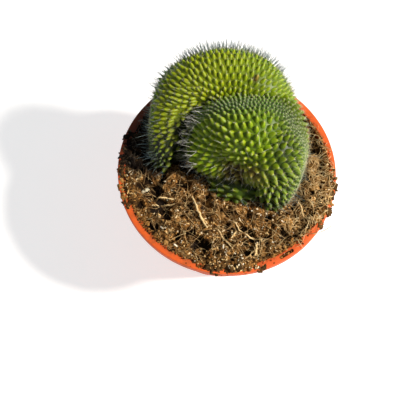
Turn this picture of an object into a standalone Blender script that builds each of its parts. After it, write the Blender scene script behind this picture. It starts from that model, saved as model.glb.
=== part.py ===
"""A crested mammillaria in a round plastic hanging pot filled with peat and coir.

Metres, +Z up. The origin is the middle of the pot's foot, on the surface it stands on, and the
front of the plant faces -Y. The plant is one body: a horseshoe fold behind, a dome fold in
front of it and a low lobe at the foot of the dome, with a crease between the folds. Its
tubercles are spread evenly over that body, smaller along the growing lines, and every few
tubercles carry one long spine.
"""

import math

import bmesh
import bpy
import numpy as np
from mathutils import Matrix, Vector, noise
from mathutils.bvhtree import BVHTree

MM = 0.001
TOUCH = 0.3 * MM  # running gap between pieces that touch

# Pot, turned from one profile
POT_HEIGHT = 115 * MM
RIM_RADIUS = 85 * MM
FLANGE_INNER = 78.4 * MM  # where the flat rim starts, at the pot's mouth
FLANGE_THICK = 1.8 * MM
SKIRT_DEPTH = 5.5 * MM
WALL = 1.4 * MM
FLOOR_RADIUS = 57 * MM  # inner radius where wall meets floor
FLOOR_TOP = 5.6 * MM
FLOOR_UNDER = 4.0 * MM
FOOT_OUTER = 58 * MM
FOOT_INNER = 52 * MM
EDGE = 0.7 * MM
POT_SIDES = 60

# Three slots in the rim for a hanger, and the drainage
SLOT_ANGLES = [math.radians(a) for a in (-50.4, 69.6, 189.6)]
SLOT_RADIUS = 81.6 * MM
SLOT_LENGTH = 12.5 * MM
SLOT_WIDTH = 2.8 * MM
DRAIN_COUNT = 8
DRAIN_CIRCLE = 40 * MM
DRAIN_RADIUS = 4.5 * MM
NOTCH_COUNT = 4
NOTCH_WIDTH = 8 * MM
NOTCH_HEIGHT = 2.4 * MM

# Soil
SOIL_LEVEL = POT_HEIGHT - 4.5 * MM
SOIL_GRID = 3.5 * MM
CLOD_COUNT = 120
CLOD_RADII = (4 * MM, 8.5 * MM)
SPILL_REACH = 84 * MM
# Where the soil lies over the rim: bearing in degrees, half width in degrees, height over the rim
SPILLS = ((-85, 15, 4.2), (-8, 17, 3.2), (178, 12, 2.8), (201, 13, 2.6))
CLEAR_OF_PLANT = (4.5 * MM, 9.0 * MM)  # clods fade out between these distances from the plant

# Plant: each lobe is a chain of balls, x, y, height over the rim and radius in millimetres
REAR_FOLD = (
    (-49, 0, 4, 8.5), (-51, 17, 19, 10.5), (-42, 41, 35, 16.5), (-17, 51, 45, 19.5), (10, 49.5, 44.5, 19.5),
    (30, 34, 34, 18.5), (37.5, 12, 25, 18.5), (38, -7, 12, 15.5), (38.5, -18, 1, 9.5),
)
FRONT_FOLD = ((-13, 9, 17, 19), (-2, 20, 34, 22), (16, 16, 39, 24), (26, 27, 38, 21), (30, 6, 30, 23))
REAR_FOOT = ((-38, 22, 3, 14), (-25, 37, 8, 18), (0, 44, 10, 20), (22, 35, 8, 19), (32, 14, 4, 17))
FRONT_FOOT = ((-11, 11, 8, 13), (6, 4, 11, 14), (21, 4, 11, 15.5))
FOOT_LOBE = ((-2, -12, -3, 8.5), (8, -15, -1, 9), (16, -15, -2, 8))
# The two growing lines, where the tubercles are smallest, in the same units
REAR_CREST = (
    (-51, -5.5, 10), (-57, 2, 15), (-59, 12, 24), (-58, 31, 38), (-43, 48, 55), (-12, 57, 64.5), (11, 59, 62),
    (26, 53.5, 57.5), (36, 41.5, 53),
)
FRONT_CREST = (
    (-27, -3, 6), (-30.5, 3.5, 18), (-30, 11, 25), (-24, 23, 40), (-10, 28.5, 53.5), (12, 32, 58.5), (30.5, 29, 59),
    (45, 22, 48.5), (54, 9, 33.5), (54.5, -5, 16), (47, -22, 0.5),
)
# The horseshoe's right end is growth of the front line, from here on: x, how far it tapers in, y
FRONT_GROWTH = (30, 8, 30)
HEART = Vector((0, 14 * MM, POT_HEIGHT - 30 * MM))  # every part of the body is in sight from here
UNDERSIDE = POT_HEIGHT - 3 * MM
CREASE_SOFTNESS = 3 * MM
FLANK_SOFTNESS = 12 * MM
NECK_RADIUS = 22 * MM
ROOT_RADIUS = 20 * MM
ROOT_END = POT_HEIGHT - 32 * MM
ROOT_SIDES = 20

# Tubercles and spines
TUBERCLE_SPACING = 5.2 * MM
YOUNG_SPACING_SHARE = 0.62
CREST_WIDTHS = (6 * MM, 9 * MM)  # rear and front
TUBERCLE_COUNT = 1200
TUBERCLE_LENGTH = 3.9 * MM
LEAN = 0.7  # of a grown tubercle of the front fold, to its growing line
SPREAD_ROUNDS = 70
SPINE_EVERY = 5
SPINE_LENGTH = (6 * MM, 10 * MM)
SPINE_RADIUS = 0.32 * MM
SPINE_ROOT = 0.8 * MM  # how deep a spine starts under the foot of its tubercle
SPINE_CLEAR = 9 * MM  # no spine ends lower than this over the plant's underside, where it would meet soil

# Loose straws and root fibres on the soil: (x, y) points in millimetres, then the radius
STRAWS = (
    (((-24, -27), (-20, -34.5), (-16, -42), (-9, -51)), 1.1),
    (((9, -42), (14.5, -47.5), (22, -52.5), (33, -54.5)), 0.8),
    (((29, -58), (29.5, -63), (29, -68)), 1.2),
    (((13.5, -48.5), (11.5, -53), (10, -57)), 0.8),
    (((-1, -50), (5, -58), (12, -66)), 0.7),
    (((-51, -32.5), (-44, -31.5), (-37.5, -32)), 0.8),
    (((-51, -36.5), (-44.5, -36), (-37, -34.8)), 0.8),
    (((57, -20), (61, -27), (64, -36)), 0.7),
)
STRAW_STEP = 3 * MM


def clear_scene():
    for obj in list(bpy.data.objects):
        bpy.data.objects.remove(obj)


def collection(name):
    made = bpy.data.collections.new(name)
    bpy.context.scene.collection.children.link(made)
    return made


def material(name, colour, roughness):
    made = bpy.data.materials.new(name)
    made.use_nodes = True
    shader = made.node_tree.nodes["Principled BSDF"]
    shader.inputs["Base Color"].default_value = (*colour, 1)
    shader.inputs["Roughness"].default_value = roughness
    made.diffuse_color = (*colour, 1)
    return made


def object_of(name, mesh, group, finish=None):
    obj = bpy.data.objects.new(name, mesh)
    group.objects.link(obj)
    if finish:
        mesh.materials.append(finish)
    return obj


def mesh_of(bm, name):
    bmesh.ops.recalc_face_normals(bm, faces=bm.faces)
    mesh = bpy.data.meshes.new(name)
    bm.to_mesh(mesh)
    bm.free()
    return mesh


def helper(obj):
    """A cutter or guide, which is no piece of the object."""
    obj.hide_render = True
    obj.display_type = "WIRE"
    return obj


def boolean(obj, operation, other=None, group=None, solver="EXACT"):
    modifier = obj.modifiers.new(operation.title(), "BOOLEAN")
    modifier.operation = operation
    modifier.solver = solver
    if group:
        modifier.operand_type = "COLLECTION"
        modifier.collection = group
    else:
        modifier.object = other


def apply_modifiers(obj):
    graph = bpy.context.evaluated_depsgraph_get()
    made = bpy.data.meshes.new_from_object(obj.evaluated_get(graph))
    obj.modifiers.clear()
    obj.data = made


def turned(name, profile, sides, group, finish=None):
    """A solid turned round Z from (radius, height) points that run down its outer side."""
    bm = bmesh.new()
    points = [bm.verts.new((radius, 0, height)) for radius, height in profile]
    for above, below in zip(points[:-1], points[1:]):
        bm.edges.new((above, below))
    mesh = bpy.data.meshes.new(name)
    bm.to_mesh(mesh)
    bm.free()
    obj = object_of(name, mesh, group, finish)
    screw = obj.modifiers.new("Turn", "SCREW")
    screw.steps = screw.render_steps = sides
    screw.use_merge_vertices = True
    screw.merge_threshold = 0.00001
    return obj


def smoothstep(low, high, value):
    t = np.clip((value - low) / (high - low), 0, 1)
    return t * t * (3 - 2 * t)


# Pot


def wall_inner(height):
    """The inner radius of the pot's wall at a height."""
    share = (height - FLOOR_TOP) / (POT_HEIGHT - FLOOR_TOP)
    return FLOOR_RADIUS + share * (FLANGE_INNER - FLOOR_RADIUS)


def pot_profile():
    under_flange = POT_HEIGHT - FLANGE_THICK
    skirt_end = POT_HEIGHT - SKIRT_DEPTH
    return [
        (0, FLOOR_TOP),
        (FLOOR_RADIUS - 2 * MM, FLOOR_TOP),
        (wall_inner(FLOOR_TOP + 2 * MM), FLOOR_TOP + 2 * MM),
        (wall_inner(POT_HEIGHT - EDGE), POT_HEIGHT - EDGE),
        (FLANGE_INNER + EDGE, POT_HEIGHT),
        (RIM_RADIUS - EDGE, POT_HEIGHT),
        (RIM_RADIUS, POT_HEIGHT - EDGE),
        (RIM_RADIUS, skirt_end),
        (RIM_RADIUS - WALL, skirt_end),
        (RIM_RADIUS - WALL, under_flange),
        (FLANGE_INNER + 1.2 * WALL, under_flange),
        (wall_inner(under_flange - 3 * MM) + WALL, under_flange - 3 * MM),
        (wall_inner(FLOOR_TOP) + WALL, FLOOR_TOP),
        (FOOT_OUTER, EDGE),
        (FOOT_OUTER - EDGE, 0),
        (FOOT_INNER + EDGE, 0),
        (FOOT_INNER, EDGE),
        (FOOT_INNER, FLOOR_UNDER),
        (0, FLOOR_UNDER),
    ]


def slot_cutter(angle, cutters):
    """A bar with round ends, cut down through the flat of the rim only."""
    outline = bpy.data.curves.new("slot_outline", "CURVE")
    outline.dimensions = "2D"
    outline.fill_mode = "BOTH"
    outline.extrude = 2 * FLANGE_THICK
    half, end = SLOT_LENGTH / 2 - SLOT_WIDTH / 2, SLOT_WIDTH / 2
    turns = [i * math.pi / 4 for i in range(5)]
    points = [(half + end * math.sin(t), end * math.cos(t)) for t in turns]
    points += [(-half - end * math.sin(t), -end * math.cos(t)) for t in turns]
    spline = outline.splines.new("POLY")
    spline.points.add(len(points) - 1)
    for point, (x, y) in zip(spline.points, points):
        point.co = (x, y, 0, 1)
    spline.use_cyclic_u = True
    guide = bpy.data.objects.new("slot_guide", outline)
    cutters.objects.link(guide)
    bpy.context.view_layer.update()
    mesh = bpy.data.meshes.new_from_object(guide.evaluated_get(bpy.context.evaluated_depsgraph_get()))
    bpy.data.objects.remove(guide)
    bm = bmesh.new()
    bm.from_mesh(mesh)
    bmesh.ops.remove_doubles(bm, verts=bm.verts, dist=0.00001)
    bm.to_mesh(mesh)
    bm.free()
    cutter = helper(object_of("slot_cutter", mesh, cutters))
    cutter.location = (SLOT_RADIUS * math.cos(angle), SLOT_RADIUS * math.sin(angle), POT_HEIGHT)
    cutter.rotation_euler.z = angle + math.pi / 2
    return cutter


def build_pot(group, cutters):
    plastic = material("terracotta_plastic", (0.78, 0.16, 0.035), 0.45)
    pot = turned("pot", pot_profile(), POT_SIDES, group, plastic)
    for angle in SLOT_ANGLES:
        boolean(pot, "DIFFERENCE", slot_cutter(angle, cutters))
    for i in range(DRAIN_COUNT):
        angle = 2 * math.pi * (i + 0.5) / DRAIN_COUNT
        bpy.ops.mesh.primitive_cylinder_add(
            vertices=14,
            radius=DRAIN_RADIUS,
            depth=4 * FLOOR_TOP,
            location=(DRAIN_CIRCLE * math.cos(angle), DRAIN_CIRCLE * math.sin(angle), FLOOR_TOP),
        )
        boolean(pot, "DIFFERENCE", move_to(cutters, "drain_cutter"))
    for i in range(NOTCH_COUNT):
        angle = 2 * math.pi * i / NOTCH_COUNT
        middle = (FOOT_OUTER + FOOT_INNER) / 2
        bpy.ops.mesh.primitive_cube_add(
            size=1,
            location=(middle * math.cos(angle), middle * math.sin(angle), 0),
            rotation=(0, 0, angle),
            scale=(3 * (FOOT_OUTER - FOOT_INNER), NOTCH_WIDTH, 2 * NOTCH_HEIGHT),
        )
        boolean(pot, "DIFFERENCE", move_to(cutters, "foot_notch_cutter"))
    apply_modifiers(pot)
    pot.data.shade_smooth()
    pot.data.set_sharp_from_angle(angle=math.radians(35))
    return pot


def move_to(group, name):
    """Files the object just made by an operator as a helper in a collection."""
    obj = bpy.context.active_object
    for owner in list(obj.users_collection):
        owner.objects.unlink(obj)
    group.objects.link(obj)
    obj.name = name
    return helper(obj)


# Plant form


def rounded_chain(points, extra=4):
    """Catmull-Rom points through a chain, so that a fold bends in a smooth line. Metres, from the ground."""
    given = np.array(points, float) * MM
    given[:, 2] += POT_HEIGHT
    padded = np.vstack([2 * given[0] - given[1], given, 2 * given[-1] - given[-2]])
    made = []
    for before, start, end, after in zip(padded[:-3], padded[1:-2], padded[2:-1], padded[3:]):
        for t in np.arange(extra) / extra:
            made.append(
                0.5
                * (
                    2 * start
                    + (end - before) * t
                    + (2 * before - 5 * start + 4 * end - after) * t**2
                    + (3 * start - before - 3 * end + after) * t**3
                )
            )
    made.append(given[-1])
    return np.array(made)


def nearest_on(points, chain):
    """The distance from each point to a chain and the nearest place on it, with any radius."""
    best = np.full(len(points), np.inf)
    place = np.zeros((len(points), chain.shape[1]))
    for start, end in zip(chain[:-1], chain[1:]):
        along = end - start
        reach = points - start[:3]
        t = np.clip(reach @ along[:3] / (along[:3] @ along[:3]), 0, 1)
        here = start + t[:, None] * along
        gap = np.linalg.norm(points - here[:, :3], axis=1)
        if chain.shape[1] == 4:
            gap = gap - here[:, 3]
        closer = gap < best
        best = np.where(closer, gap, best)
        place[closer] = here[closer]
    return best, place


def soft_min(a, b, softness):
    share = np.clip(0.5 + 0.5 * (b - a) / softness, 0, 1)
    return b + (a - b) * share - softness * share * (1 - share)


class Form:
    """The plant's body without its tubercles, as a distance and as a radius from its heart."""

    def __init__(self):
        lobes = (REAR_FOLD, REAR_FOOT, FRONT_FOLD, FRONT_FOOT, FOOT_LOBE)
        self.folds = [rounded_chain(lobe) for lobe in lobes]
        self.crests = [rounded_chain(crest) for crest in (REAR_CREST, FRONT_CREST)]

    def distance(self, points):
        upright = points.copy()
        upright[:, 2] = np.maximum(points[:, 2], UNDERSIDE)
        rear, rear_foot, front, front_foot, low = (nearest_on(upright, fold)[0] for fold in self.folds)
        rear = soft_min(rear, rear_foot, FLANK_SOFTNESS)
        front = soft_min(front, front_foot, FLANK_SOFTNESS)
        return np.minimum(soft_min(rear, front, CREASE_SOFTNESS), low)

    def radius(self, directions):
        """How far the body reaches along each direction, by stepping in from outside."""
        heart = np.array(HEART)
        reach = np.full(len(directions), 125 * MM)
        for _ in range(30):
            gap = self.distance(heart + directions * reach[:, None])
            reach = np.maximum(reach - 0.95 * gap, 4 * MM)
        return reach

    def surface(self, directions):
        return np.array(HEART) + directions * self.radius(directions)[:, None]

    def normals(self, points):
        step = 0.4 * MM
        slopes = [self.distance(points + shift) - self.distance(points - shift) for shift in np.eye(3) * step]
        slopes = np.stack(slopes, axis=1)
        return slopes / np.maximum(np.linalg.norm(slopes, axis=1, keepdims=True), 1e-12)

    def rear_share(self, points):
        """How far a point belongs to the rear fold, from 0 to 1."""
        rear, front = (nearest_on(points, fold)[0] for fold in (self.folds[0], self.folds[2]))
        start, taper, level = FRONT_GROWTH
        right_end = smoothstep(start, start + taper, points[:, 0] / MM + 0.5 * (level - points[:, 1] / MM))
        return smoothstep(-1.2 * MM, 1.2 * MM, front - rear) * (1 - right_end)

    def crest(self, points):
        """The distance to the growing line of a point's own fold, and the nearest point on it."""
        rear, rear_place = nearest_on(points, self.crests[0])
        front, front_place = nearest_on(points, self.crests[1])
        share = self.rear_share(points)
        place = front_place + (rear_place - front_place) * share[:, None]
        return front + (rear - front) * share, place

    def youth(self, points):
        width = CREST_WIDTHS[1] + (CREST_WIDTHS[0] - CREST_WIDTHS[1]) * self.rear_share(points)
        return np.exp(-((self.crest(points)[0] / width) ** 2))

    def spacing(self, points, grown):
        return grown * (1 - (1 - YOUNG_SPACING_SHARE) * self.youth(points))

    def rise(self, directions):
        """How far up each direction is, from 0 where the body meets the soil to 1 straight up."""
        flat = directions * np.array([1, 1, 0])
        flat /= np.maximum(np.linalg.norm(flat, axis=1, keepdims=True), 1e-9)
        foot = np.array([HEART.x, HEART.y, UNDERSIDE])
        reach = np.full(len(directions), 100 * MM)
        for _ in range(30):
            reach = np.maximum(reach - 0.95 * self.distance(foot + flat * reach[:, None]), 4 * MM)
        lowest = np.arctan2(UNDERSIDE - HEART.z, reach)
        here = np.arcsin(directions[:, 2])
        return np.clip((here - lowest) / (math.pi / 2 - lowest), 0.01, 1)


def spiral(count):
    """Even directions over the upper part of a ball, along a golden-angle spiral."""
    steps = np.arange(count) + 0.5
    tall = 1 - steps / count * 0.6
    turn = steps * math.pi * (3 - math.sqrt(5))
    flat = np.sqrt(1 - tall**2)
    return np.stack([flat * np.cos(turn), flat * np.sin(turn), tall], axis=1)


def spread_tubercles(form, count, spacing):
    """Even places over the body: seeded ones, which then push each other apart."""
    lowest = UNDERSIDE + 1.6 * MM
    directions = spiral(6 * count)
    points = form.surface(directions)
    facing = np.maximum((form.normals(points) * directions).sum(axis=1), 0.12)
    share = ((points - np.array(HEART)) ** 2).sum(axis=1) / facing / form.spacing(points, spacing) ** 2
    share[points[:, 2] < lowest] = 0
    draw = np.random.default_rng(3)
    directions = directions[draw.random(len(directions)) < share / share.sum() * count]
    for _ in range(SPREAD_ROUNDS):
        points = form.surface(directions)
        wanted = form.spacing(points, spacing)
        apart = points[:, None, :] - points[None, :, :]
        gap = np.linalg.norm(apart, axis=2)
        np.fill_diagonal(gap, 1)
        reach = 1.25 * (wanted[:, None] + wanted[None, :]) / 2
        push = np.clip(1 - gap / reach, 0, None) ** 2 / gap
        np.fill_diagonal(push, 0)
        moved = points + 0.55 * wanted[:, None] * (apart * push[:, :, None]).sum(axis=1)
        moved[:, 2] = np.maximum(moved[:, 2], lowest)
        directions = moved - np.array(HEART)
        directions /= np.linalg.norm(directions, axis=1, keepdims=True)
    points = form.surface(directions)
    return directions[points[:, 2] > lowest - 1 * MM]


def tubercle_axes(form, points):
    """Each tubercle stands off the body, and those of the front fold lean to its growing line."""
    normals = form.normals(points)
    away, crest = form.crest(points)
    lean = crest - points
    lean -= (lean * normals).sum(axis=1)[:, None] * normals
    lean /= np.maximum(np.linalg.norm(lean, axis=1, keepdims=True), 1e-9)
    strength = LEAN * smoothstep(3 * MM, 16 * MM, away) * (1 - form.rear_share(points))
    axes = normals + strength[:, None] * lean
    return axes / np.linalg.norm(axes, axis=1, keepdims=True)


def ring(radius, height):
    turns = [2 * math.pi * i / ROOT_SIDES for i in range(ROOT_SIDES)]
    return [Vector((HEART.x + radius * math.cos(t), HEART.y + radius * math.sin(t), height)) for t in turns]


def build_plant(form, group, cutters):
    flesh = material("cactus_flesh", (0.16, 0.30, 0.03), 0.55)
    directions = spread_tubercles(form, TUBERCLE_COUNT, TUBERCLE_SPACING)
    tops = [Vector(point) for point in form.surface(directions)]
    neck, root_end = ring(NECK_RADIUS, UNDERSIDE), ring(ROOT_RADIUS, ROOT_END)
    places = tops + neck + root_end + [Vector((HEART.x, HEART.y, ROOT_END))]
    # The hull of points on a unit ball gives the faces, and the points then go to their places.
    ball = []
    for direction, rise in zip(directions, form.rise(directions)):
        level = Vector((direction[0], direction[1], 0)).normalized()
        ball.append(level * math.cos(rise * math.pi / 2) + Vector((0, 0, math.sin(rise * math.pi / 2))))
    for points, drop in ((neck, 0.3), (root_end, 1.5)):
        levels = [(point - HEART).xy.to_3d().normalized() for point in points]
        ball += [(level - Vector((0, 0, drop))).normalized() for level in levels]
    ball.append(Vector((0, 0, -1)))
    bm = bmesh.new()
    verts = [bm.verts.new(point) for point in ball]
    bmesh.ops.convex_hull(bm, input=verts)
    for vert, place in zip(verts, places):
        vert.co = place
    grown = set(verts[: len(tops)])
    skin = [face for face in bm.faces if all(vert in grown for vert in face.verts)]
    inner = [edge for edge in bm.edges if all(face in set(skin) for face in edge.link_faces)]
    bmesh.ops.beautify_fill(bm, faces=skin, edges=inner, method="ANGLE")
    skin = [face for face in bm.faces if all(vert in grown for vert in face.verts)]
    faces = set(skin)
    inner = [edge for edge in bm.edges if all(face in faces for face in edge.link_faces)]
    bmesh.ops.poke(bm, faces=skin, center_mode="MEAN")
    bmesh.ops.rotate_edges(bm, edges=inner, use_ccw=False)
    bmesh.ops.recalc_face_normals(bm, faces=bm.faces)
    raise_tubercles(form, bm, verts[: len(tops)])
    plant = object_of("crested_cactus", mesh_of(bm, "crested_cactus"), group, flesh)
    spines = build_spines(form, plant, tops, cutters)
    boolean(plant, "UNION", group=spines, solver="MANIFOLD")
    apply_modifiers(plant)
    for spine in list(spines.objects):
        bpy.data.objects.remove(spine)
    return plant


def raise_tubercles(form, bm, tips):
    """Lifts the tips. One that would fold over or touch the far wall of a crease is drawn shorter."""
    roots = np.array([tip.co for tip in tips])
    axes = tubercle_axes(form, roots)
    normals = form.normals(roots)
    lengths = TUBERCLE_LENGTH * (1 - 0.4 * form.youth(roots))
    order = {tip: i for i, tip in enumerate(tips)}
    for _ in range(8):
        for tip, root, axis, length in zip(tips, roots, axes, lengths):
            tip.co = Vector(root + axis * length)
            tip.co.z = max(tip.co.z, UNDERSIDE + TOUCH)
        short = set()
        for tip, normal in zip(tips, normals):
            if any(leans_over(face, Vector(normal)) for face in tip.link_faces):
                short.add(order[tip])
        tree = BVHTree.FromBMesh(bm)
        bm.faces.ensure_lookup_table()
        for one, two in tree.overlap(tree):
            corners = set(bm.faces[one].verts) | set(bm.faces[two].verts)
            if len(corners) == 6:
                short |= {order[vert] for vert in corners if vert in order}
        if not short:
            return
        lengths[list(short)] *= 0.6


def leans_over(face, normal):
    """True if a face of a tubercle has turned away from the body's own side."""
    a, b, c = (vert.co for vert in face.verts[:3])
    across = (b - a).cross(c - a)
    return across.dot(normal) < 0.05 * across.length


def build_spines(form, plant, tops, cutters):
    """One long three-sided spine on every few tubercles, rooted in its tip."""
    made = bpy.data.collections.new("spines")
    cutters.children.link(made)
    draw = np.random.default_rng(11)
    roots = np.array([tuple(top) for top in tops])
    axes = tubercle_axes(form, roots)
    order = np.argsort(roots[:, 0] + 31 * np.sin(roots[:, 1] * 900))
    for i in order[::SPINE_EVERY]:
        length = SPINE_ROOT + draw.uniform(*SPINE_LENGTH)
        sway = Vector(draw.normal(0, 0.28, 3))
        axis = (Vector(axes[i]) + sway).normalized()
        foot = Vector(roots[i]) - axis * SPINE_ROOT
        _, near, outward, _ = plant.closest_point_on_mesh(foot)
        rooted = (near - foot).dot(outward) > SPINE_RADIUS / 2
        if not rooted or foot.z + axis.z * length < UNDERSIDE + SPINE_CLEAR:
            continue
        turn = axis.to_track_quat("Z", "Y").to_matrix().to_4x4()
        bm = bmesh.new()
        bmesh.ops.create_cone(
            bm,
            segments=3,
            radius1=SPINE_RADIUS,
            radius2=0,
            depth=length,
            cap_ends=True,
            matrix=Matrix.Translation(foot + axis * length / 2) @ turn,
        )
        helper(object_of("spine", mesh_of(bm, "spine"), made))
    return made


# Soil


def clods():
    """Seeded crumbs of soil: x, y, radius and height."""
    draw = np.random.default_rng(5)
    made = []
    for _ in range(CLOD_COUNT):
        bearing, out = draw.uniform(0, 2 * math.pi), RIM_RADIUS * math.sqrt(draw.uniform(0, 1))
        radius = draw.uniform(*CLOD_RADII)
        tall = radius * draw.uniform(0.45, 0.8)
        made.append((out * math.cos(bearing), out * math.sin(bearing), radius, tall))
    return np.array(made)


def soil_heights(form, points):
    """The soil's top at each (x, y): crumbs and hollows, lower and smooth under the plant."""
    x, y = points[:, 0], points[:, 1]
    out, bearing = np.hypot(x, y), np.degrees(np.arctan2(y, x))
    heights = np.zeros(len(points))
    for cx, cy, radius, tall in clods():
        gap = ((x - cx) ** 2 + (y - cy) ** 2) / radius**2
        heights = np.maximum(heights, tall * np.sqrt(np.clip(1 - gap, 0, None)))
    fine = [noise.noise(Vector((px / (7 * MM), py / (7 * MM), 3))) for px, py in points]
    heights += 1.6 * MM * np.array(fine)
    held = POT_HEIGHT - SOIL_LEVEL - 1.2 * MM  # soil that isn't spilled stays inside the mouth
    heights = np.where(out > FLANGE_INNER - 5 * MM, np.minimum(heights, held), heights)
    for middle, half, tall in SPILLS:
        away = np.abs((bearing - middle + 180) % 360 - 180)
        share = (1 - smoothstep(0.4 * half, half, away)) * smoothstep(56 * MM, 72 * MM, out)
        ragged = 0.8 + 0.25 * np.array(fine)
        thin = 1 - 0.7 * smoothstep(75 * MM, SPILL_REACH, out)
        edge = SPILL_REACH - 1.5 * MM + 3 * MM * np.sin(bearing / 2.3) * np.sin(bearing / 0.9)
        over = POT_HEIGHT - SOIL_LEVEL + TOUCH + tall * MM * ragged * thin * share
        heights = np.where((share > 0.25) & (out < edge), np.maximum(heights, over), heights)
    levels = UNDERSIDE + np.arange(0, 16, 3) * MM
    near = np.min([form.distance(np.column_stack([points, np.full(len(points), z)])) for z in levels], axis=0)
    open_soil = smoothstep(*CLEAR_OF_PLANT, near)
    bed = UNDERSIDE - TOUCH
    return bed + (SOIL_LEVEL + heights - bed) * open_soil


def soil_profile():
    """The plug of soil that the pot holds, with a lip over the rim."""
    floor, mouth = FLOOR_TOP + TOUCH, POT_HEIGHT + TOUCH
    return [
        (0, mouth + 20 * MM),
        (SPILL_REACH, mouth + 20 * MM),
        (SPILL_REACH, mouth),
        (FLANGE_INNER + EDGE - TOUCH, mouth),
        (wall_inner(POT_HEIGHT - EDGE) - TOUCH, POT_HEIGHT - EDGE),
        (wall_inner(FLOOR_TOP + 2 * MM) - TOUCH, FLOOR_TOP + 2 * MM),
        (FLOOR_RADIUS - 2 * MM - TOUCH, floor),
        (0, floor),
    ]


def build_soil(form, group, cutters):
    peat = material("peat_and_coir", (0.10, 0.055, 0.025), 0.95)
    cells = 2 * math.ceil(RIM_RADIUS / SOIL_GRID)
    bm = bmesh.new()
    bmesh.ops.create_grid(bm, x_segments=cells, y_segments=cells, size=cells * SOIL_GRID / 2)
    heights = soil_heights(form, np.array([vert.co[:2] for vert in bm.verts]))
    for vert, height in zip(bm.verts, heights):
        vert.co.z = height
    lower = bmesh.ops.extrude_face_region(bm, geom=list(bm.faces))["geom"]
    for vert in (item for item in lower if isinstance(item, bmesh.types.BMVert)):
        vert.co.z = 0
    bmesh.ops.dissolve_limit(
        bm,
        angle_limit=math.radians(1),
        verts=[vert for vert in bm.verts if vert.co.z == 0],
        edges=[edge for edge in bm.edges if all(vert.co.z == 0 for vert in edge.verts)],
    )
    soil = object_of("soil", mesh_of(bm, "soil"), group, peat)
    boolean(soil, "INTERSECT", helper(turned("soil_plug", soil_profile(), POT_SIDES, cutters)))
    hole = [
        (0, UNDERSIDE + 10 * MM),
        (NECK_RADIUS + TOUCH, UNDERSIDE + 10 * MM),
        (NECK_RADIUS + TOUCH, UNDERSIDE),
        (ROOT_RADIUS + TOUCH, ROOT_END - TOUCH),
        (0, ROOT_END - TOUCH),
    ]
    cutter = helper(turned("root_hole", hole, ROOT_SIDES, cutters))
    cutter.location = (HEART.x, HEART.y, 0)
    boolean(soil, "DIFFERENCE", cutter)
    apply_modifiers(soil)
    return soil


# Straws


def drop_height(soil, x, y):
    """The top of the soil at (x, y), found by looking straight down."""
    hit, place, _, _ = soil.ray_cast(Vector((x, y, 0.3)), Vector((0, 0, -1)))
    return place.z if hit else SOIL_LEVEL


def build_straw(name, points, radius, soil, group, finish):
    """A dry straw laid over the crumbs: it follows their tops and bridges the hollows."""
    given = np.array(points, float) * MM
    lengths = np.linalg.norm(np.diff(given, axis=0), axis=1)
    marks = np.concatenate([[0], np.cumsum(lengths)])
    count = max(4, round(marks[-1] / STRAW_STEP) + 1)
    along = np.linspace(0, marks[-1], count)
    path = np.column_stack([np.interp(along, marks, given[:, axis]) for axis in (0, 1)])
    tops = np.zeros(count)
    for i, (start, end) in enumerate(zip(path[:-1], path[1:])):
        side = np.array([start[1] - end[1], end[0] - start[0]]) / np.linalg.norm(end - start)
        spots = [
            start + (end - start) * share + side * across * 1.3 * radius * MM
            for share in np.linspace(-0.3, 1.3, 9)
            for across in (-1, 0, 1)
        ]
        top = max(drop_height(soil, *spot) for spot in spots)
        tops[i : i + 2] = np.maximum(tops[i : i + 2], top)
    lift = radius * MM + TOUCH
    curve = bpy.data.curves.new(name, "CURVE")
    curve.dimensions = "3D"
    curve.bevel_depth = radius * MM
    curve.bevel_resolution = 1
    curve.use_fill_caps = True
    spline = curve.splines.new("POLY")
    spline.points.add(count - 1)
    for point, (x, y), top in zip(spline.points, path, tops):
        point.co = (x, y, top + lift, 1)
    straw = bpy.data.objects.new(name, curve)
    group.objects.link(straw)
    curve.materials.append(finish)
    return straw


def main():
    clear_scene()
    group = collection("potted_crested_mammillaria")
    cutters = collection("cutters")
    form = Form()
    build_pot(group, cutters)
    build_plant(form, group, cutters)
    soil = build_soil(form, group, cutters)
    bpy.context.view_layer.update()
    dry = material("dry_straw", (0.52, 0.36, 0.16), 0.8)
    for i, (points, radius) in enumerate(STRAWS):
        build_straw(f"straw_{i + 1}", points, radius, soil, group, dry)


main()
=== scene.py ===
import math

import bmesh
import bpy
import numpy as np
from mathutils import Matrix, Vector
from mathutils.bvhtree import BVHTree


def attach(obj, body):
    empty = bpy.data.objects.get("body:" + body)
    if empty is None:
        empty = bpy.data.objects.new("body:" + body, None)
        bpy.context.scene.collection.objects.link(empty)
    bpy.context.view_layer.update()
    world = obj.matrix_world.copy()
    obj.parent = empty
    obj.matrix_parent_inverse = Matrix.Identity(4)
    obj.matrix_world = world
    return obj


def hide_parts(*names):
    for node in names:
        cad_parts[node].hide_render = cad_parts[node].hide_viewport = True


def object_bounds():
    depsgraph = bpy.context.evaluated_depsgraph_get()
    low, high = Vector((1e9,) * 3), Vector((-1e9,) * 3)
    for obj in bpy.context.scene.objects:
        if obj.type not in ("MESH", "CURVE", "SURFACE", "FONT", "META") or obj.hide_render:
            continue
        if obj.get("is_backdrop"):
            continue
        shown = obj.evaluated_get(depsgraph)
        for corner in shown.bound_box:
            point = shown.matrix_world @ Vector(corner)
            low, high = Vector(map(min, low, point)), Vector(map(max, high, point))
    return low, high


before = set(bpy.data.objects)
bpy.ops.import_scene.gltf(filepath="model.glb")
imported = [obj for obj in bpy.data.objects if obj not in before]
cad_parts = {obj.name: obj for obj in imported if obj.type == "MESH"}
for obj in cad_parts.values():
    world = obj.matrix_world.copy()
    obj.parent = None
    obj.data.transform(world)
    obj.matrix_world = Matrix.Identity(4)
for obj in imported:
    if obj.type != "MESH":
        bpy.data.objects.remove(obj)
cad_box = [list(corner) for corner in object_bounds()]


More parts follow.
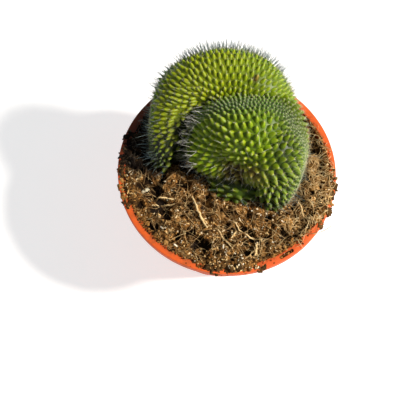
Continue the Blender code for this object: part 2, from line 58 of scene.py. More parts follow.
# The camera. The photograph looks down on the plant from in front, nearly overhead and rolled a
# few degrees, from about half a metre. The middle of the pot's rim is the point that it is set by.
MM = 0.001
RIM_TOP = 115 * MM
ELEVATION = math.radians(66.4)
ROLL = math.radians(7.9)
DISTANCE = 520 * MM
FOCAL_PIXELS = 668
FRAME_PIXELS = 400
RIM_CENTRE_PIXEL = (227.8, 167.1)
SENSOR = 36

camera = bpy.data.objects.new("camera", bpy.data.cameras.new("camera"))
bpy.context.scene.collection.objects.link(camera)
camera.data.sensor_width = SENSOR
camera.data.lens = SENSOR * FOCAL_PIXELS / FRAME_PIXELS
camera.data.shift_x = (FRAME_PIXELS / 2 - RIM_CENTRE_PIXEL[0]) / FRAME_PIXELS
camera.data.shift_y = (RIM_CENTRE_PIXEL[1] - FRAME_PIXELS / 2) / FRAME_PIXELS
camera.data.clip_start = 20 * MM
ahead = Vector((0, math.cos(ELEVATION), -math.sin(ELEVATION)))
upward = Vector((0, math.sin(ELEVATION), math.cos(ELEVATION)))
right = Vector((1, 0, 0))
across = right * math.cos(ROLL) + upward * math.sin(ROLL)
over = upward * math.cos(ROLL) - right * math.sin(ROLL)
facing = Matrix((across, over, -ahead)).transposed().to_4x4()
camera.matrix_world = Matrix.Translation(Vector((0, 0, RIM_TOP)) - ahead * DISTANCE) @ facing
bpy.context.scene.camera = camera
bpy.context.scene.view_settings.view_transform = "Standard"


# The light: one soft warm disc at the right, and a weak bluish sky that fills the shade. The disc
# is small enough to give each tubercle and straw a shadow of its own, as in the photograph.
KEY_BEARING = math.radians(-2)
KEY_ELEVATION = math.radians(48)
KEY_DISTANCE = 1.6
KEY_WIDTH = 0.16
KEY_WATTS = 40
SKY_STRENGTH = 0.25


def linear(code):
    """An sRGB hex colour as linear red, green, blue and alpha."""
    parts = [int(code[i : i + 2], 16) / 255 for i in (1, 3, 5)]
    return (*[p / 12.92 if p <= 0.04045 else ((p + 0.055) / 1.055) ** 2.4 for p in parts], 1)


key = bpy.data.objects.new("key_light", bpy.data.lights.new("key_light", "AREA"))
bpy.context.scene.collection.objects.link(key)
key.data.shape = "DISK"
key.data.size = KEY_WIDTH
key.data.energy = KEY_WATTS
key.data.color = linear("#FFF9F0")[:3]
level, height = math.cos(KEY_ELEVATION), math.sin(KEY_ELEVATION)
toward = Matrix.Rotation(KEY_BEARING, 3, "Z") @ Vector((level, 0, height))
facing = toward.to_track_quat("Z", "Y").to_matrix().to_4x4()
key.matrix_world = Matrix.Translation(toward * KEY_DISTANCE) @ facing
sky = bpy.data.worlds.new("sky")
sky.use_nodes = True
sky.node_tree.nodes["Background"].inputs["Color"].default_value = linear("#EFF7FF")
sky.node_tree.nodes["Background"].inputs["Strength"].default_value = SKY_STRENGTH
bpy.context.scene.world = sky


# The floor: one wide sheet of pale matt card, laid flat under the pot. It only shows where the pot
# stands and is no part of the object.
FLOOR_HALF = 3.0
CARD_MOTTLE = 50 * MM


def new_material(name):
    """A material with an empty node tree."""
    made = bpy.data.materials.new(name)
    made.use_nodes = True
    made.node_tree.nodes.clear()
    return made


def add(material, kind, inputs, output=0, stops=(), **settings):
    """One shader node with its settings and links, as the output of it that is used. An input, by
    its name or number, is a socket to link, a hex colour or a plain value. Stops fill a ramp."""
    node = material.node_tree.nodes.new("ShaderNode" + kind)
    for name, value in settings.items():
        setattr(node, name, value)
    for name, value in inputs.items():
        if isinstance(value, bpy.types.NodeSocket):
            material.node_tree.links.new(value, node.inputs[name])
        else:
            node.inputs[name].default_value = linear(value) if isinstance(value, str) else value
    for _ in stops[2:]:
        node.color_ramp.elements.new(0.5)
    for number, (position, colour) in enumerate(stops):
        node.color_ramp.elements[number].position = position
        node.color_ramp.elements[number].color = linear(colour)
    return node.outputs[output] if len(node.outputs) else None


# Pale card: matt, almost even, and faintly bright of itself, so that it stays near white in shade.
card = new_material("pale_card")
place = add(card, "TexCoord", {}, "Object")
mottle = add(card, "TexNoise", {"Vector": place, "Scale": 1 / CARD_MOTTLE, "Detail": 3, "Roughness": 0.6})
tint = add(card, "ValToRGB", {"Fac": mottle}, stops=((0.3, "#D2D2D0"), (0.7, "#D7D7D6")))
matt = {"Base Color": tint, "Roughness": 0.9, "Emission Color": "#FFFFFF", "Emission Strength": 0.65}
add(card, "OutputMaterial", {"Surface": add(card, "BsdfPrincipled", matt)})
floor_mesh = bpy.data.meshes.new("floor")
corners = [(x * FLOOR_HALF, y * FLOOR_HALF, 0) for x, y in ((-1, -1), (1, -1), (1, 1), (-1, 1))]
floor_mesh.from_pydata(corners, [], [(0, 1, 2, 3)])
floor_mesh.materials.append(card)
floor = bpy.data.objects.new("floor", floor_mesh)
bpy.context.scene.collection.objects.link(floor)
floor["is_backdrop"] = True


# The pot: a thin hanging pot of terracotta-coloured polypropylene, moulded in one piece. Its flat
# rim has a turned-down skirt and three slots for a hanger's hooks. It stands on a notched foot
# ring, with drainage holes through its floor, and the soil fills it up to the rim.
RIM_RADIUS = 85 * MM
FLANGE_INNER = 78.4 * MM
FLANGE_THICK = 1.8 * MM
SKIRT_DEPTH = 5.5 * MM
WALL = 1.4 * MM
FLOOR_RADIUS = 57 * MM
FLOOR_TOP = 5.6 * MM
FLOOR_UNDER = 4.0 * MM
FOOT_OUTER = 58 * MM
FOOT_INNER = 52 * MM
POT_SIDES = 180
SLOT_BEARINGS = [math.radians(a) for a in (-50.4, 69.6, 189.6)]
SLOT_RADIUS = 81.6 * MM
SLOT_LENGTH = 12.5 * MM
SLOT_WIDTH = 2.8 * MM
DRAIN_HOLES = 8
DRAIN_RING = 40 * MM
DRAIN_RADIUS = 4.5 * MM
DRAIN_CUT = 12 * MM
FOOT_NOTCHES = 4
NOTCH_RING = 55 * MM
NOTCH_LENGTH = 18 * MM
NOTCH_WIDTH = 8 * MM
NOTCH_HEIGHT = 2.4 * MM
AXIS_GAP = 0.1 * MM


def piece(name, shape, material, slot, stands_for=(), smooth=True, **values):
    """A piece of the object, from its corners and its same-sided faces, with values stored per
    corner. It rides on the one body and takes the given material; its slot is not used."""
    verts, faces = (np.asarray(numbers) for numbers in shape)
    mesh = bpy.data.meshes.new(name)
    mesh.vertices.add(len(verts))
    mesh.vertices.foreach_set("co", verts.astype(float).ravel())
    mesh.loops.add(faces.size)
    mesh.loops.foreach_set("vertex_index", faces.ravel())
    mesh.polygons.add(len(faces))
    mesh.polygons.foreach_set("loop_start", np.arange(len(faces)) * faces.shape[1])
    mesh.update(calc_edges=True)
    mesh.validate()
    mesh.polygons.foreach_set("use_smooth", np.full(len(mesh.polygons), smooth))
    for value_name, numbers in values.items():
        layer = mesh.attributes.new(value_name, "FLOAT", "POINT")
        layer.data.foreach_set("value", np.asarray(numbers, float))
    mesh.materials.append(material)
    obj = bpy.data.objects.new(name, mesh)
    bpy.context.scene.collection.objects.link(obj)
    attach(obj, "root")
    if stands_for:
        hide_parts(*stands_for)
    return obj


def rounded(profile, steps=4):
    """A profile of (radius, height, corner radius) points, with an arc at each inner corner."""
    made = [profile[0][:2]]
    for before, here, after in zip(profile[:-2], profile[1:-1], profile[2:]):
        corner = np.array(here[:2], float)
        back, on = np.array(before[:2]) - corner, np.array(after[:2]) - corner
        reach = min(here[2], 0.45 * np.linalg.norm(back), 0.45 * np.linalg.norm(on))
        start = corner + back / np.linalg.norm(back) * reach
        end = corner + on / np.linalg.norm(on) * reach
        for t in np.linspace(0, 1, steps):
            made.append(tuple((1 - t) ** 2 * start + 2 * t * (1 - t) * corner + t**2 * end))
    made.append(profile[-1][:2])
    return made


def bands(levels, around):
    """Quads between rings of corners, one ring after another."""
    here = np.arange(around)
    after = (here + 1) % around
    band = np.column_stack([here, after, after + around, here + around])
    return np.vstack([band + level * around for level in range(levels - 1)])


def lathe(profile, sides):
    """Corners and quads of a profile of (radius, height) points turned round Z."""
    turns = np.arange(sides) * 2 * math.pi / sides
    ring = np.stack([np.cos(turns), np.sin(turns)], axis=1)
    verts = [np.column_stack([ring * r, np.full(sides, h)]) for r, h in profile]
    return np.vstack(verts), bands(len(profile), sides)[:, ::-1]


def wall_inner(height):
    """The radius of the pot's inside at a height."""
    share = (height - FLOOR_TOP) / (RIM_TOP - FLOOR_TOP)
    return FLOOR_RADIUS + share * (FLANGE_INNER - FLOOR_RADIUS)


def prism(outline, depth, radius, bearing, height):
    """A cutter of this outline and depth, centred on a point given by radius, bearing and height.
    The outline's x runs outwards there."""
    bm = bmesh.new()
    face = bm.faces.new([bm.verts.new((x, y, -depth / 2)) for x, y in outline])
    lifted = bmesh.ops.extrude_face_region(bm, geom=[face])["geom"]
    for vert in (item for item in lifted if isinstance(item, bmesh.types.BMVert)):
        vert.co.z = depth / 2
    bmesh.ops.recalc_face_normals(bm, faces=bm.faces)
    mesh = bpy.data.meshes.new("cutter")
    bm.to_mesh(mesh)
    bm.free()
    made = bpy.data.objects.new("cutter", mesh)
    bpy.context.scene.collection.objects.link(made)
    made.matrix_world = Matrix.Rotation(bearing, 4, "Z") @ Matrix.Translation((radius, 0, height))
    return made


# Polypropylene from a finely grained mould: an even satin orange. Dry soil dulls it near the rim,
# wet soil stains the edge that it lies on, and the plant's shadow is painted nearly black on the
# left of the rim's top.
# The mould's own grain is finer than can show, so it is drawn 0.6 mm wide.
GRAIN = 0.6 * MM
DUST_PATCH = 9 * MM
TINT_PATCH = 22 * MM
STAIN_GRAIN = 1.6 * MM
plastic = new_material("moulded_polypropylene")
place = add(plastic, "TexCoord", {}, "Object")
x, y, up = add(plastic, "SeparateXYZ", {"Vector": place}).node.outputs
grain = add(plastic, "TexNoise", {"Vector": place, "Scale": 1 / GRAIN, "Detail": 2, "Roughness": 0.6})
uneven = add(plastic, "TexNoise", {"Vector": place, "Scale": 1 / TINT_PATCH, "Detail": 3, "Roughness": 0.6})
colour = add(plastic, "ValToRGB", {"Fac": uneven}, stops=((0.3, "#CE5219"), (0.7, "#DA5E22")))
patchy = add(plastic, "TexNoise", {"Vector": place, "Scale": 1 / DUST_PATCH, "Detail": 6, "Roughness": 0.7})
dust = add(plastic, "MapRange", {"Value": patchy, "From Min": 0.50, "From Max": 0.66})
near_rim = {"From Min": RIM_TOP - 22 * MM, "From Max": RIM_TOP - 2 * MM, "To Min": 0.06, "To Max": 0.40}
dusty_height = add(plastic, "MapRange", {"Value": up, **near_rim})
dust = add(plastic, "Math", {0: dust, 1: dusty_height}, operation="MULTIPLY")
colour = add(plastic, "Mix", {0: dust, 6: colour, 7: "#7A4A26"}, 2, data_type="RGBA")
level_place = add(plastic, "CombineXYZ", {"X": x, "Y": y})
out = add(plastic, "VectorMath", {0: level_place}, "Value", operation="LENGTH")
on_top = add(plastic, "MapRange", {"Value": up, "From Min": RIM_TOP - 1.2 * MM, "From Max": RIM_TOP})
inner_edge = {"From Min": 83 * MM, "From Max": 79 * MM, "To Max": 0.75}
inner = add(plastic, "MapRange", {"Value": out, **inner_edge})
spotty = add(plastic, "TexNoise", {"Vector": place, "Scale": 1 / STAIN_GRAIN, "Detail": 5, "Roughness": 0.7})
stain = add(plastic, "MapRange", {"Value": spotty, "From Min": 0.42, "From Max": 0.60})
stain = add(plastic, "Math", {0: stain, 1: inner}, operation="MULTIPLY")
stain = add(plastic, "Math", {0: stain, 1: on_top}, operation="MULTIPLY")
colour = add(plastic, "Mix", {0: stain, 6: colour, 7: "#4E2E16"}, 2, data_type="RGBA")
# Painted shadow: the plant's shadow, near black, on the left of the rim's top.
left = add(plastic, "MapRange", {"Value": x, "From Min": -58 * MM, "From Max": -66 * MM, "To Max": 0.8})
behind = add(plastic, "MapRange", {"Value": y, "From Min": -14 * MM, "From Max": -4 * MM})
left_shadow_share = add(plastic, "Math", {0: left, 1: behind}, operation="MULTIPLY")
left_shadow_share = add(plastic, "Math", {0: left_shadow_share, 1: on_top}, operation="MULTIPLY")
colour = add(plastic, "Mix", {0: left_shadow_share, 6: colour, 7: "#24120C"}, 2, data_type="RGBA")
relief = add(plastic, "Bump", {"Height": grain, "Distance": 0.12 * MM, "Strength": 0.5})
satin = {"Base Color": colour, "Normal": relief, "Roughness": 0.55, "Specular IOR Level": 0.28, "IOR": 1.5}
add(plastic, "OutputMaterial", {"Surface": add(plastic, "BsdfPrincipled", satin)})

skirt_end = RIM_TOP - SKIRT_DEPTH
flange_under = RIM_TOP - FLANGE_THICK
neck = flange_under - 3 * MM
POT_PROFILE = (
    (AXIS_GAP, FLOOR_TOP, 0),
    (FLOOR_RADIUS, FLOOR_TOP, 2 * MM),
    (FLANGE_INNER, RIM_TOP, 0.9 * MM),
    (RIM_RADIUS, RIM_TOP, 0.8 * MM),
    (RIM_RADIUS + 0.1 * MM, skirt_end, 0.4 * MM),
    (RIM_RADIUS - WALL, skirt_end, 0.4 * MM),
    (RIM_RADIUS - WALL, flange_under, 0.6 * MM),
    (FLANGE_INNER + 1.2 * WALL, flange_under, 1 * MM),
    (wall_inner(neck) + WALL, neck, 2 * MM),
    (FOOT_OUTER + 0.6 * MM, FLOOR_TOP + 3 * MM, 2 * MM),
    (FOOT_OUTER, 0, 0.6 * MM),
    (FOOT_INNER, 0, 0.6 * MM),
    (FOOT_INNER, FLOOR_UNDER, 0.6 * MM),
    (AXIS_GAP, FLOOR_UNDER, 0),
)
pot = piece("pot_shell", lathe(rounded(POT_PROFILE), POT_SIDES), plastic, "terracotta_plastic", ("pot",))
bm = bmesh.new()
bm.from_mesh(pot.data)
bmesh.ops.remove_doubles(bm, verts=bm.verts, dist=0.25 * MM)
bmesh.ops.holes_fill(bm, edges=bm.edges)
bmesh.ops.recalc_face_normals(bm, faces=bm.faces)
bm.to_mesh(pot.data)
bm.free()

straight, end = (SLOT_LENGTH - SLOT_WIDTH) / 2, SLOT_WIDTH / 2
slot_outline = [(end * math.cos(t), straight + end * math.sin(t)) for t in np.linspace(0, math.pi, 9)]
slot_outline += [(-x, -y) for x, y in slot_outline]
circle = [(DRAIN_RADIUS * math.cos(t), DRAIN_RADIUS * math.sin(t)) for t in np.arange(32) * math.pi / 16]
notch = [(x * NOTCH_LENGTH / 2, y * NOTCH_WIDTH / 2) for x, y in ((1, 1), (-1, 1), (-1, -1), (1, -1))]
cutters = [prism(slot_outline, 3 * FLANGE_THICK, SLOT_RADIUS, bearing, RIM_TOP) for bearing in SLOT_BEARINGS]
for i in range(DRAIN_HOLES):
    cutters.append(prism(circle, DRAIN_CUT, DRAIN_RING, 2 * math.pi * (i + 0.5) / DRAIN_HOLES, FLOOR_TOP))
for i in range(FOOT_NOTCHES):
    cutters.append(prism(notch, 2 * NOTCH_HEIGHT, NOTCH_RING, 2 * math.pi * i / FOOT_NOTCHES, 0))
for cutter in cutters:
    cut = pot.modifiers.new("Cut", "BOOLEAN")
    cut.object = cutter
    cut.solver = "EXACT"
whole = pot.evaluated_get(bpy.context.evaluated_depsgraph_get())
pot_mesh = bpy.data.meshes.new_from_object(whole)
pot.modifiers.clear()
pot.data = pot_mesh
for cutter in cutters:
    bpy.data.objects.remove(cutter)
pot_mesh.shade_smooth()
pot_mesh.set_sharp_from_angle(angle=math.radians(32))


# The plant: one fan-shaped crest of waxy green tubercles, grown in one piece. The rear fold bends
# like a horseshoe, the front fold is a dome, and a low lobe sits at the dome's foot. Tubercles are
# small and crowded along the two growing lines, and longer and yellow-green away from them.
UNDERSIDE = RIM_TOP - 3 * MM
HEART = np.array([0, 14 * MM, RIM_TOP - 30 * MM])
# Each point of a fold is x, y and the height over the rim, and then the fold's radius there, in mm.
REAR_FOLD = (
    (-49, 0, 4, 8.5), (-51, 17, 19, 10.5), (-42, 41, 35, 16.5), (-17, 51, 45, 19.5), (10, 49.5, 44.5, 19.5),
    (27.5, 33.5, 34, 17.5), (37, 11.5, 25, 18), (38, -7, 12, 15.5), (38.5, -18, 1, 9.5),
)
REAR_FOOT = ((-38, 22, 3, 14), (-25, 37, 8, 18), (0, 44, 10, 20), (22, 35, 8, 19), (32, 14, 4, 17))
FRONT_FOLD = ((-13, 9, 17, 19), (-2, 20, 34, 22), (16, 16, 39, 24), (24.5, 26.5, 38, 19.5), (30, 6, 30, 23))
FRONT_FOOT = ((-11, 11, 8, 13), (6, 4, 11, 14), (21, 4, 11, 15.5))
FOOT_LOBE = ((-2, -12, -3, 8.5), (8, -15, -1, 9), (16, -15, -2, 8))
REAR_CREST = (
    (-53, -5, 9), (-60, 4, 14), (-62, 15, 22), (-62, 28, 29), (-60, 36, 36), (-54, 46, 44), (-44, 57, 50),
    (-28, 64, 56), (-12, 67, 58), (0, 66.5, 59), (12, 65, 57), (21, 62, 55), (29, 57, 52), (36, 51, 49),
    (42, 46, 44), (46.5, 40, 40), (50, 34, 37), (53, 27, 34), (56, 16, 27), (57, 6, 22),
)
FRONT_CREST = (
    (-27, -3, 6), (-30.5, 3.5, 18), (-30, 10, 25), (-28, 15, 33), (-23, 18.5, 42), (-16, 21, 50),
    (-10, 22.5, 54), (-4, 23, 57.7), (9.4, 24.2, 60.9), (23.4, 25.3, 61), (34, 24, 58), (41.5, 19, 51.6),
    (47, 15, 46), (51, 11, 39), (54, 6, 31), (55, 1, 24), (54, -6, 16), (52, -13.5, 9.5), (47, -22, 0.5),
)
FOOT_BLEND = 12 * MM
FOLD_BLEND = 3 * MM
REAR_BAND = 11 * MM
FRONT_BAND = 17 * MM
FRONT_BAND_AT_LEFT = 9 * MM
TUBERCLE_SPACING = 5.6 * MM
YOUNG_SPACING_SHARE = 0.48
REAR_CLOSER = 0.15
ROW_STRETCH = 1.15
TUBERCLE_LENGTH = 5.2 * MM
YOUNG_SHORTER = 0.58
TUBERCLE_SLIM = 0.96
TUBERCLE_SIDES = 10
# Each ring of a tubercle is a share of its length and then of its spacing.
TUBERCLE_PROFILE = (
    (-0.20, 0.66), (0.06, 0.61), (0.26, 0.50), (0.46, 0.385), (0.66, 0.295), (0.82, 0.22), (0.94, 0.13),
    (1.0, 0.02),
)
SKIN_RAISED = 2.7 * MM
LEANING_FROM = 1.5 * MM
LEANING_TO = 11 * MM
OUTSIDE = 125 * MM
LEAST_REACH = 4 * MM
CAREFUL_STEP = 0.95
PLACES_TRIED = 12000
# How far down from its top the sphere of tried directions goes, as a share of its radius.
CAP_DEPTH = 0.6
# The area that one tubercle takes among six neighbours, as a share of its spacing squared.
HEXAGON_SHARE = 0.866
PUSH_ROUNDS = 72
ROUNDS_PER_SEARCH = 6
NEIGHBOURS = 18
PUSH_REACH = 1.25
PUSH_STRENGTH = 0.5
SKIN_AROUND = 260
SKIN_LEVELS = 96


def smoothstep(low, high, value):
    """0 up to low, 1 from high on, and a smooth rise between them."""
    t = np.clip((value - low) / (high - low), 0, 1)
    return t * t * (3 - 2 * t)


def rounded_chain(points, extra=4):
    """A smooth chain through points given in millimetres from the middle of the rim."""
    given = np.array(points, float) * MM
    given[:, 2] += RIM_TOP
    padded = np.vstack([2 * given[0] - given[1], given, 2 * given[-1] - given[-2]])
    made = []
    for before, start, end, after in zip(padded[:-3], padded[1:-2], padded[2:-1], padded[3:]):
        for t in np.arange(extra) / extra:
            square = (2 * before - 5 * start + 4 * end - after) * t**2
            cube = (3 * start - before - 3 * end + after) * t**3
            made.append(0.5 * (2 * start + (end - before) * t + square + cube))
    made.append(given[-1])
    return np.array(made)


def nearest_on(points, chain):
    """The distance from each point to a chain and the nearest place on it."""
    best = np.full(len(points), np.inf)
    place = np.zeros((len(points), chain.shape[1]))
    for start, end in zip(chain[:-1], chain[1:]):
        along = end - start
        t = np.clip((points - start[:3]) @ along[:3] / (along[:3] @ along[:3]), 0, 1)
        here = start + t[:, None] * along
        gap = np.linalg.norm(points - here[:, :3], axis=1)
        if chain.shape[1] == 4:
            gap = gap - here[:, 3]
        closer = gap < best
        best = np.where(closer, gap, best)
        place[closer] = here[closer]
    return best, place


def soft_min(a, b, softness):
    """The smaller of two distances, with the crease between them rounded off."""
    share = np.clip(0.5 + 0.5 * (b - a) / softness, 0, 1)
    return b + (a - b) * share - softness * share * (1 - share)


LOBES = [rounded_chain(lobe) for lobe in (REAR_FOLD, REAR_FOOT, FRONT_FOLD, FRONT_FOOT, FOOT_LOBE)]
CRESTS = [rounded_chain(crest) for crest in (REAR_CREST, FRONT_CREST)]


def body_parts(points):
    """The distances to the rear fold, the front fold and the low lobe, each of them upright below."""
    upright = points.copy()
    upright[:, 2] = np.maximum(points[:, 2], UNDERSIDE)
    rear, rear_foot, front, front_foot, low = (nearest_on(upright, lobe)[0] for lobe in LOBES)
    return soft_min(rear, rear_foot, FOOT_BLEND), soft_min(front, front_foot, FOOT_BLEND), low


def body_distance(points):
    """The distance to the whole body, less than 0 inside it."""
    rear, front, low = body_parts(points)
    return np.minimum(soft_min(rear, front, FOLD_BLEND), low)


def body_reach(directions, start=None, steps=30):
    """How far the body reaches from its heart, stepping in from outside or from a given start."""
    reach = np.full(len(directions), OUTSIDE) if start is None else start.copy()
    for _ in range(steps):
        gap = body_distance(HEART + directions * reach[:, None])
        reach = np.maximum(reach - CAREFUL_STEP * gap, LEAST_REACH)
    return reach


def body_normals(points):
    """Which way the body's surface faces at each point."""
    step = 0.4 * MM
    slopes = [body_distance(points + shift) - body_distance(points - shift) for shift in np.eye(3) * step]
    slopes = np.stack(slopes, axis=1)
    return slopes / np.maximum(np.linalg.norm(slopes, axis=1, keepdims=True), 1e-12)


def crest_near(points):
    """The distance to the growing line of a point's own fold, the nearest place on it, and how far
    the point belongs to the rear fold, from 0 to 1. The right end of the horseshoe is front growth."""
    rear_gap, front_gap, _ = body_parts(points)
    on_rear = smoothstep(-1.2 * MM, 1.2 * MM, front_gap - rear_gap)
    x, y = points[:, 0] / MM, points[:, 1] / MM
    on_rear = on_rear * (1 - smoothstep(34, 42, x + 0.5 * (30 - y)))
    rear, rear_place = nearest_on(points, CRESTS[0])
    front, front_place = nearest_on(points, CRESTS[1])
    share = on_rear[:, None]
    return rear * on_rear + front * (1 - on_rear), rear_place * share + front_place * (1 - share), on_rear


def youth_of(away, on_rear, line_x):
    """How young the tubercles are, from 1 on a growing line to 0 away from it. The front line's band
    is narrow at its left end and wide at the top and the right."""
    wider = smoothstep(-24 * MM, 6 * MM, line_x)
    front_width = FRONT_BAND_AT_LEFT + (FRONT_BAND - FRONT_BAND_AT_LEFT) * wider
    width = REAR_BAND * on_rear + front_width * (1 - on_rear)
    return 1 - smoothstep(1 * MM, width, away)


def local_spacing(points):
    """How far apart the tubercles stand at each place."""
    away, line, on_rear = crest_near(points)
    young = youth_of(away, on_rear, line[:, 0])
    return TUBERCLE_SPACING * (1 - (1 - YOUNG_SPACING_SHARE) * young) * (1 - REAR_CLOSER * on_rear)


def spiral(count):
    """Even directions over the upper part of a sphere, from its top down."""
    steps = np.arange(count) + 0.5
    tall = 1 - steps / count * CAP_DEPTH
    turn = steps * math.pi * (3 - math.sqrt(5))
    flat = np.sqrt(1 - tall**2)
    return np.stack([flat * np.cos(turn), flat * np.sin(turn), tall], axis=1)


def unit(vectors):
    """The same directions, one unit long."""
    return vectors / np.maximum(np.linalg.norm(vectors, axis=1, keepdims=True), 1e-12)


def tubercle_frames(points):
    """Normals, axes, how young each tubercle is, its fold, and the direction of growth."""
    normals = body_normals(points)
    away, crest, rear = crest_near(points)
    lean = crest - points
    lean = unit(lean - (lean * normals).sum(axis=1)[:, None] * normals)
    strength = (smoothstep(LEANING_FROM, LEANING_TO, away) * (0.7 + 0.4 * rear))[:, None]
    axes = unit(normals + strength * lean)
    return normals, axes, youth_of(away, rear, crest[:, 0]), rear, lean


def spread_tubercles():
    """Even places over the body: seeded ones, which then push each other apart."""
    lowest = UNDERSIDE + 1.0 * MM
    directions = spiral(PLACES_TRIED)
    reach = body_reach(directions)
    points = HEART + directions * reach[:, None]
    facing = np.maximum((body_normals(points) * directions).sum(axis=1), 0.12)
    share = reach**2 / facing / local_spacing(points) ** 2
    share[points[:, 2] < lowest] = 0
    share = share * 2 * math.pi * CAP_DEPTH / len(directions) / HEXAGON_SHARE
    draw = np.random.default_rng(4)
    kept = draw.random(len(directions)) < share
    directions, reach = directions[kept], reach[kept]
    for turn in range(PUSH_ROUNDS):
        points = HEART + directions * reach[:, None]
        if turn % ROUNDS_PER_SEARCH == 0:
            wanted = local_spacing(points)
            _, _, young, _, growth = tubercle_frames(points)
            stretch = 1 + (ROW_STRETCH - 1) * (1 - young)
            flat = points.astype(np.float32)
            square = (flat**2).sum(axis=1)
            gaps = square[:, None] + square[None, :] - 2 * flat @ flat.T
            np.fill_diagonal(gaps, np.inf)
            near = np.argpartition(gaps, NEIGHBOURS, axis=1)[:, :NEIGHBOURS]
        apart = points[:, None, :] - points[near]
        along = (apart * growth[:, None]).sum(axis=2)
        square = np.maximum((apart**2).sum(axis=2) - along**2, 0)
        gap = np.sqrt(along**2 / stretch[:, None] ** 2 + square * stretch[:, None] ** 2)
        limit = PUSH_REACH * (wanted[:, None] + wanted[near]) / 2
        push = np.clip(1 - gap / limit, 0, None) ** 2 / np.maximum(gap, 1e-6)
        moved = points + PUSH_STRENGTH * wanted[:, None] * (apart * push[..., None]).sum(axis=1)
        moved[:, 2] = np.maximum(moved[:, 2], lowest)
        length = np.linalg.norm(moved - HEART, axis=1)
        directions = (moved - HEART) / length[:, None]
        reach = body_reach(directions, length + 2.5 * MM, 9)
    reach = body_reach(directions)
    points = HEART + directions * reach[:, None]
    return points[points[:, 2] > lowest - 1 * MM]


def bell(places, centre, spread):
    """1 at the middle of a soft patch, falling to 0 round it."""
    return np.exp(-(((places - np.array(centre)) / np.array(spread)) ** 2).sum(axis=1))


def region_values(points, youth, rear):
    """How golden, old, near the soil and shaded each place on the plant is, from 0 to 1. The golden
    share is the rear fold's own tone plus painted sunlight on the dome; near the soil and shaded
    are painted shade, and the scar is darkened too. Places are in millimetres, with heights over
    the rim."""
    place = points / MM - np.array([0, 0, RIM_TOP / MM])
    x, y, z = place.T
    flat = place[:, :2]
    front = 1 - rear
    # Painted sunlight: the sunlit middle of the dome is made more golden.
    sunny_dome = front * (1 - youth) * bell(flat, (-4, 4), (18, 16))
    gold_and_sunlight = rear * (1 - youth) * (0.25 + 0.75 * smoothstep(26, -24, x)) + 0.35 * sunny_dome
    # Painted shade: low down near the soil the flesh is darkened.
    low = smoothstep(14, 2, z)

    corky = bell(place, (21, -13, 30), (9, 6.5, 11))
    scar = bell(flat, (10.5, 43.5), (1.6, 1.8)) * smoothstep(50, 56, z)
    hollow = bell(flat, (6.5, -9.5), (9.5, 5.5)) * smoothstep(33, 25, z)
    old = np.maximum(corky, np.clip(1.6 * scar, 0, 1))

    # Painted shade on the front fold's left and right sides, the hollow, the rear fold's left and right, the
    # groove between the folds and the low lobe.
    facing_front = smoothstep(46, 36, y)
    shaded = 1.1 * front * smoothstep(-24, -30, x) + 0.78 * front * smoothstep(20, 38, x) + 1.4 * hollow
    shaded += 0.42 * rear * smoothstep(-28, -50, x) * facing_front + 0.2 * rear * smoothstep(-5, 20, x)
    # A cast shadow painted low on the rear fold's left, under a slanted edge.
    foot_edge = 52 + 0.75 * (x + 20)
    rear_foot = smoothstep(foot_edge + 1.5, foot_edge - 3.5, z) * smoothstep(-14, -22, x)
    shaded += 1.2 * rear * rear_foot * facing_front
    rear_gap, front_gap, _ = body_parts(points)
    groove = smoothstep(4.5 * MM, 1.0 * MM, np.abs(front_gap - rear_gap)) * smoothstep(16, 2, x)
    shaded += 0.85 * groove * smoothstep(58, 48, z)
    lobe = bell(flat, (7, -15), (14, 7)) * smoothstep(12, 6, z)
    shaded = np.clip(shaded + 0.5 * lobe, 0, 1) * (1 - 0.7 * old) + 0.3 * scar
    old = np.maximum(old, np.clip(1.5 * hollow, 0, 1))
    return dict(gold_and_sunlight=np.clip(gold_and_sunlight, 0, 1), youth=youth, old=old, low=low, shaded=shaded)


def rings(side, other, count):
    """A circle of this many directions for each pair of crosswise ones."""
    turns = np.arange(count) * 2 * math.pi / count
    return np.cos(turns)[None, :, None] * side[:, None] + np.sin(turns)[None, :, None] * other[:, None]


def repeated(faces, copies, corners_each):
    """The same faces for every copy, with each copy's corners numbered after the last one's."""
    shifts = np.arange(copies) * corners_each
    return (np.asarray(faces)[None] + shifts[:, None, None]).reshape(-1, np.shape(faces)[1])


def body_skin():
    """Corners and faces of the green skin between the tubercles, down to the soil."""
    turns = np.arange(SKIN_AROUND) * 2 * math.pi / SKIN_AROUND
    flat = np.stack([np.cos(turns), np.sin(turns), np.zeros(SKIN_AROUND)], axis=1)
    reach = np.full(SKIN_AROUND, 100 * MM)
    foot = np.array([HEART[0], HEART[1], UNDERSIDE])
    for _ in range(30):
        gap = body_distance(foot + flat * reach[:, None])
        reach = np.maximum(reach - CAREFUL_STEP * gap, LEAST_REACH)
    lowest = np.arctan2(UNDERSIDE - HEART[2], reach)
    share = np.linspace(0, 1, SKIN_LEVELS)[:, None]
    rise = lowest + (math.pi / 2 - 0.01 - lowest) * share
    directions = np.cos(rise)[..., None] * flat + np.sin(rise)[..., None] * np.array([0, 0, 1.0])
    directions = directions.reshape(-1, 3)
    points = HEART + directions * body_reach(directions)[:, None]
    away, line, rear = crest_near(points)
    youth = youth_of(away, rear, line[:, 0])
    right_side = smoothstep(14 * MM, 34 * MM, points[:, 0])
    shrink = (1 - 0.55 * youth) * (0.7 + 0.3 * rear) * (1 - 0.4 * (1 - rear) * right_side)
    raised = points + (SKIN_RAISED * shrink)[:, None] * body_normals(points)
    return raised, bands(SKIN_LEVELS, SKIN_AROUND), region_values(points, youth, rear)


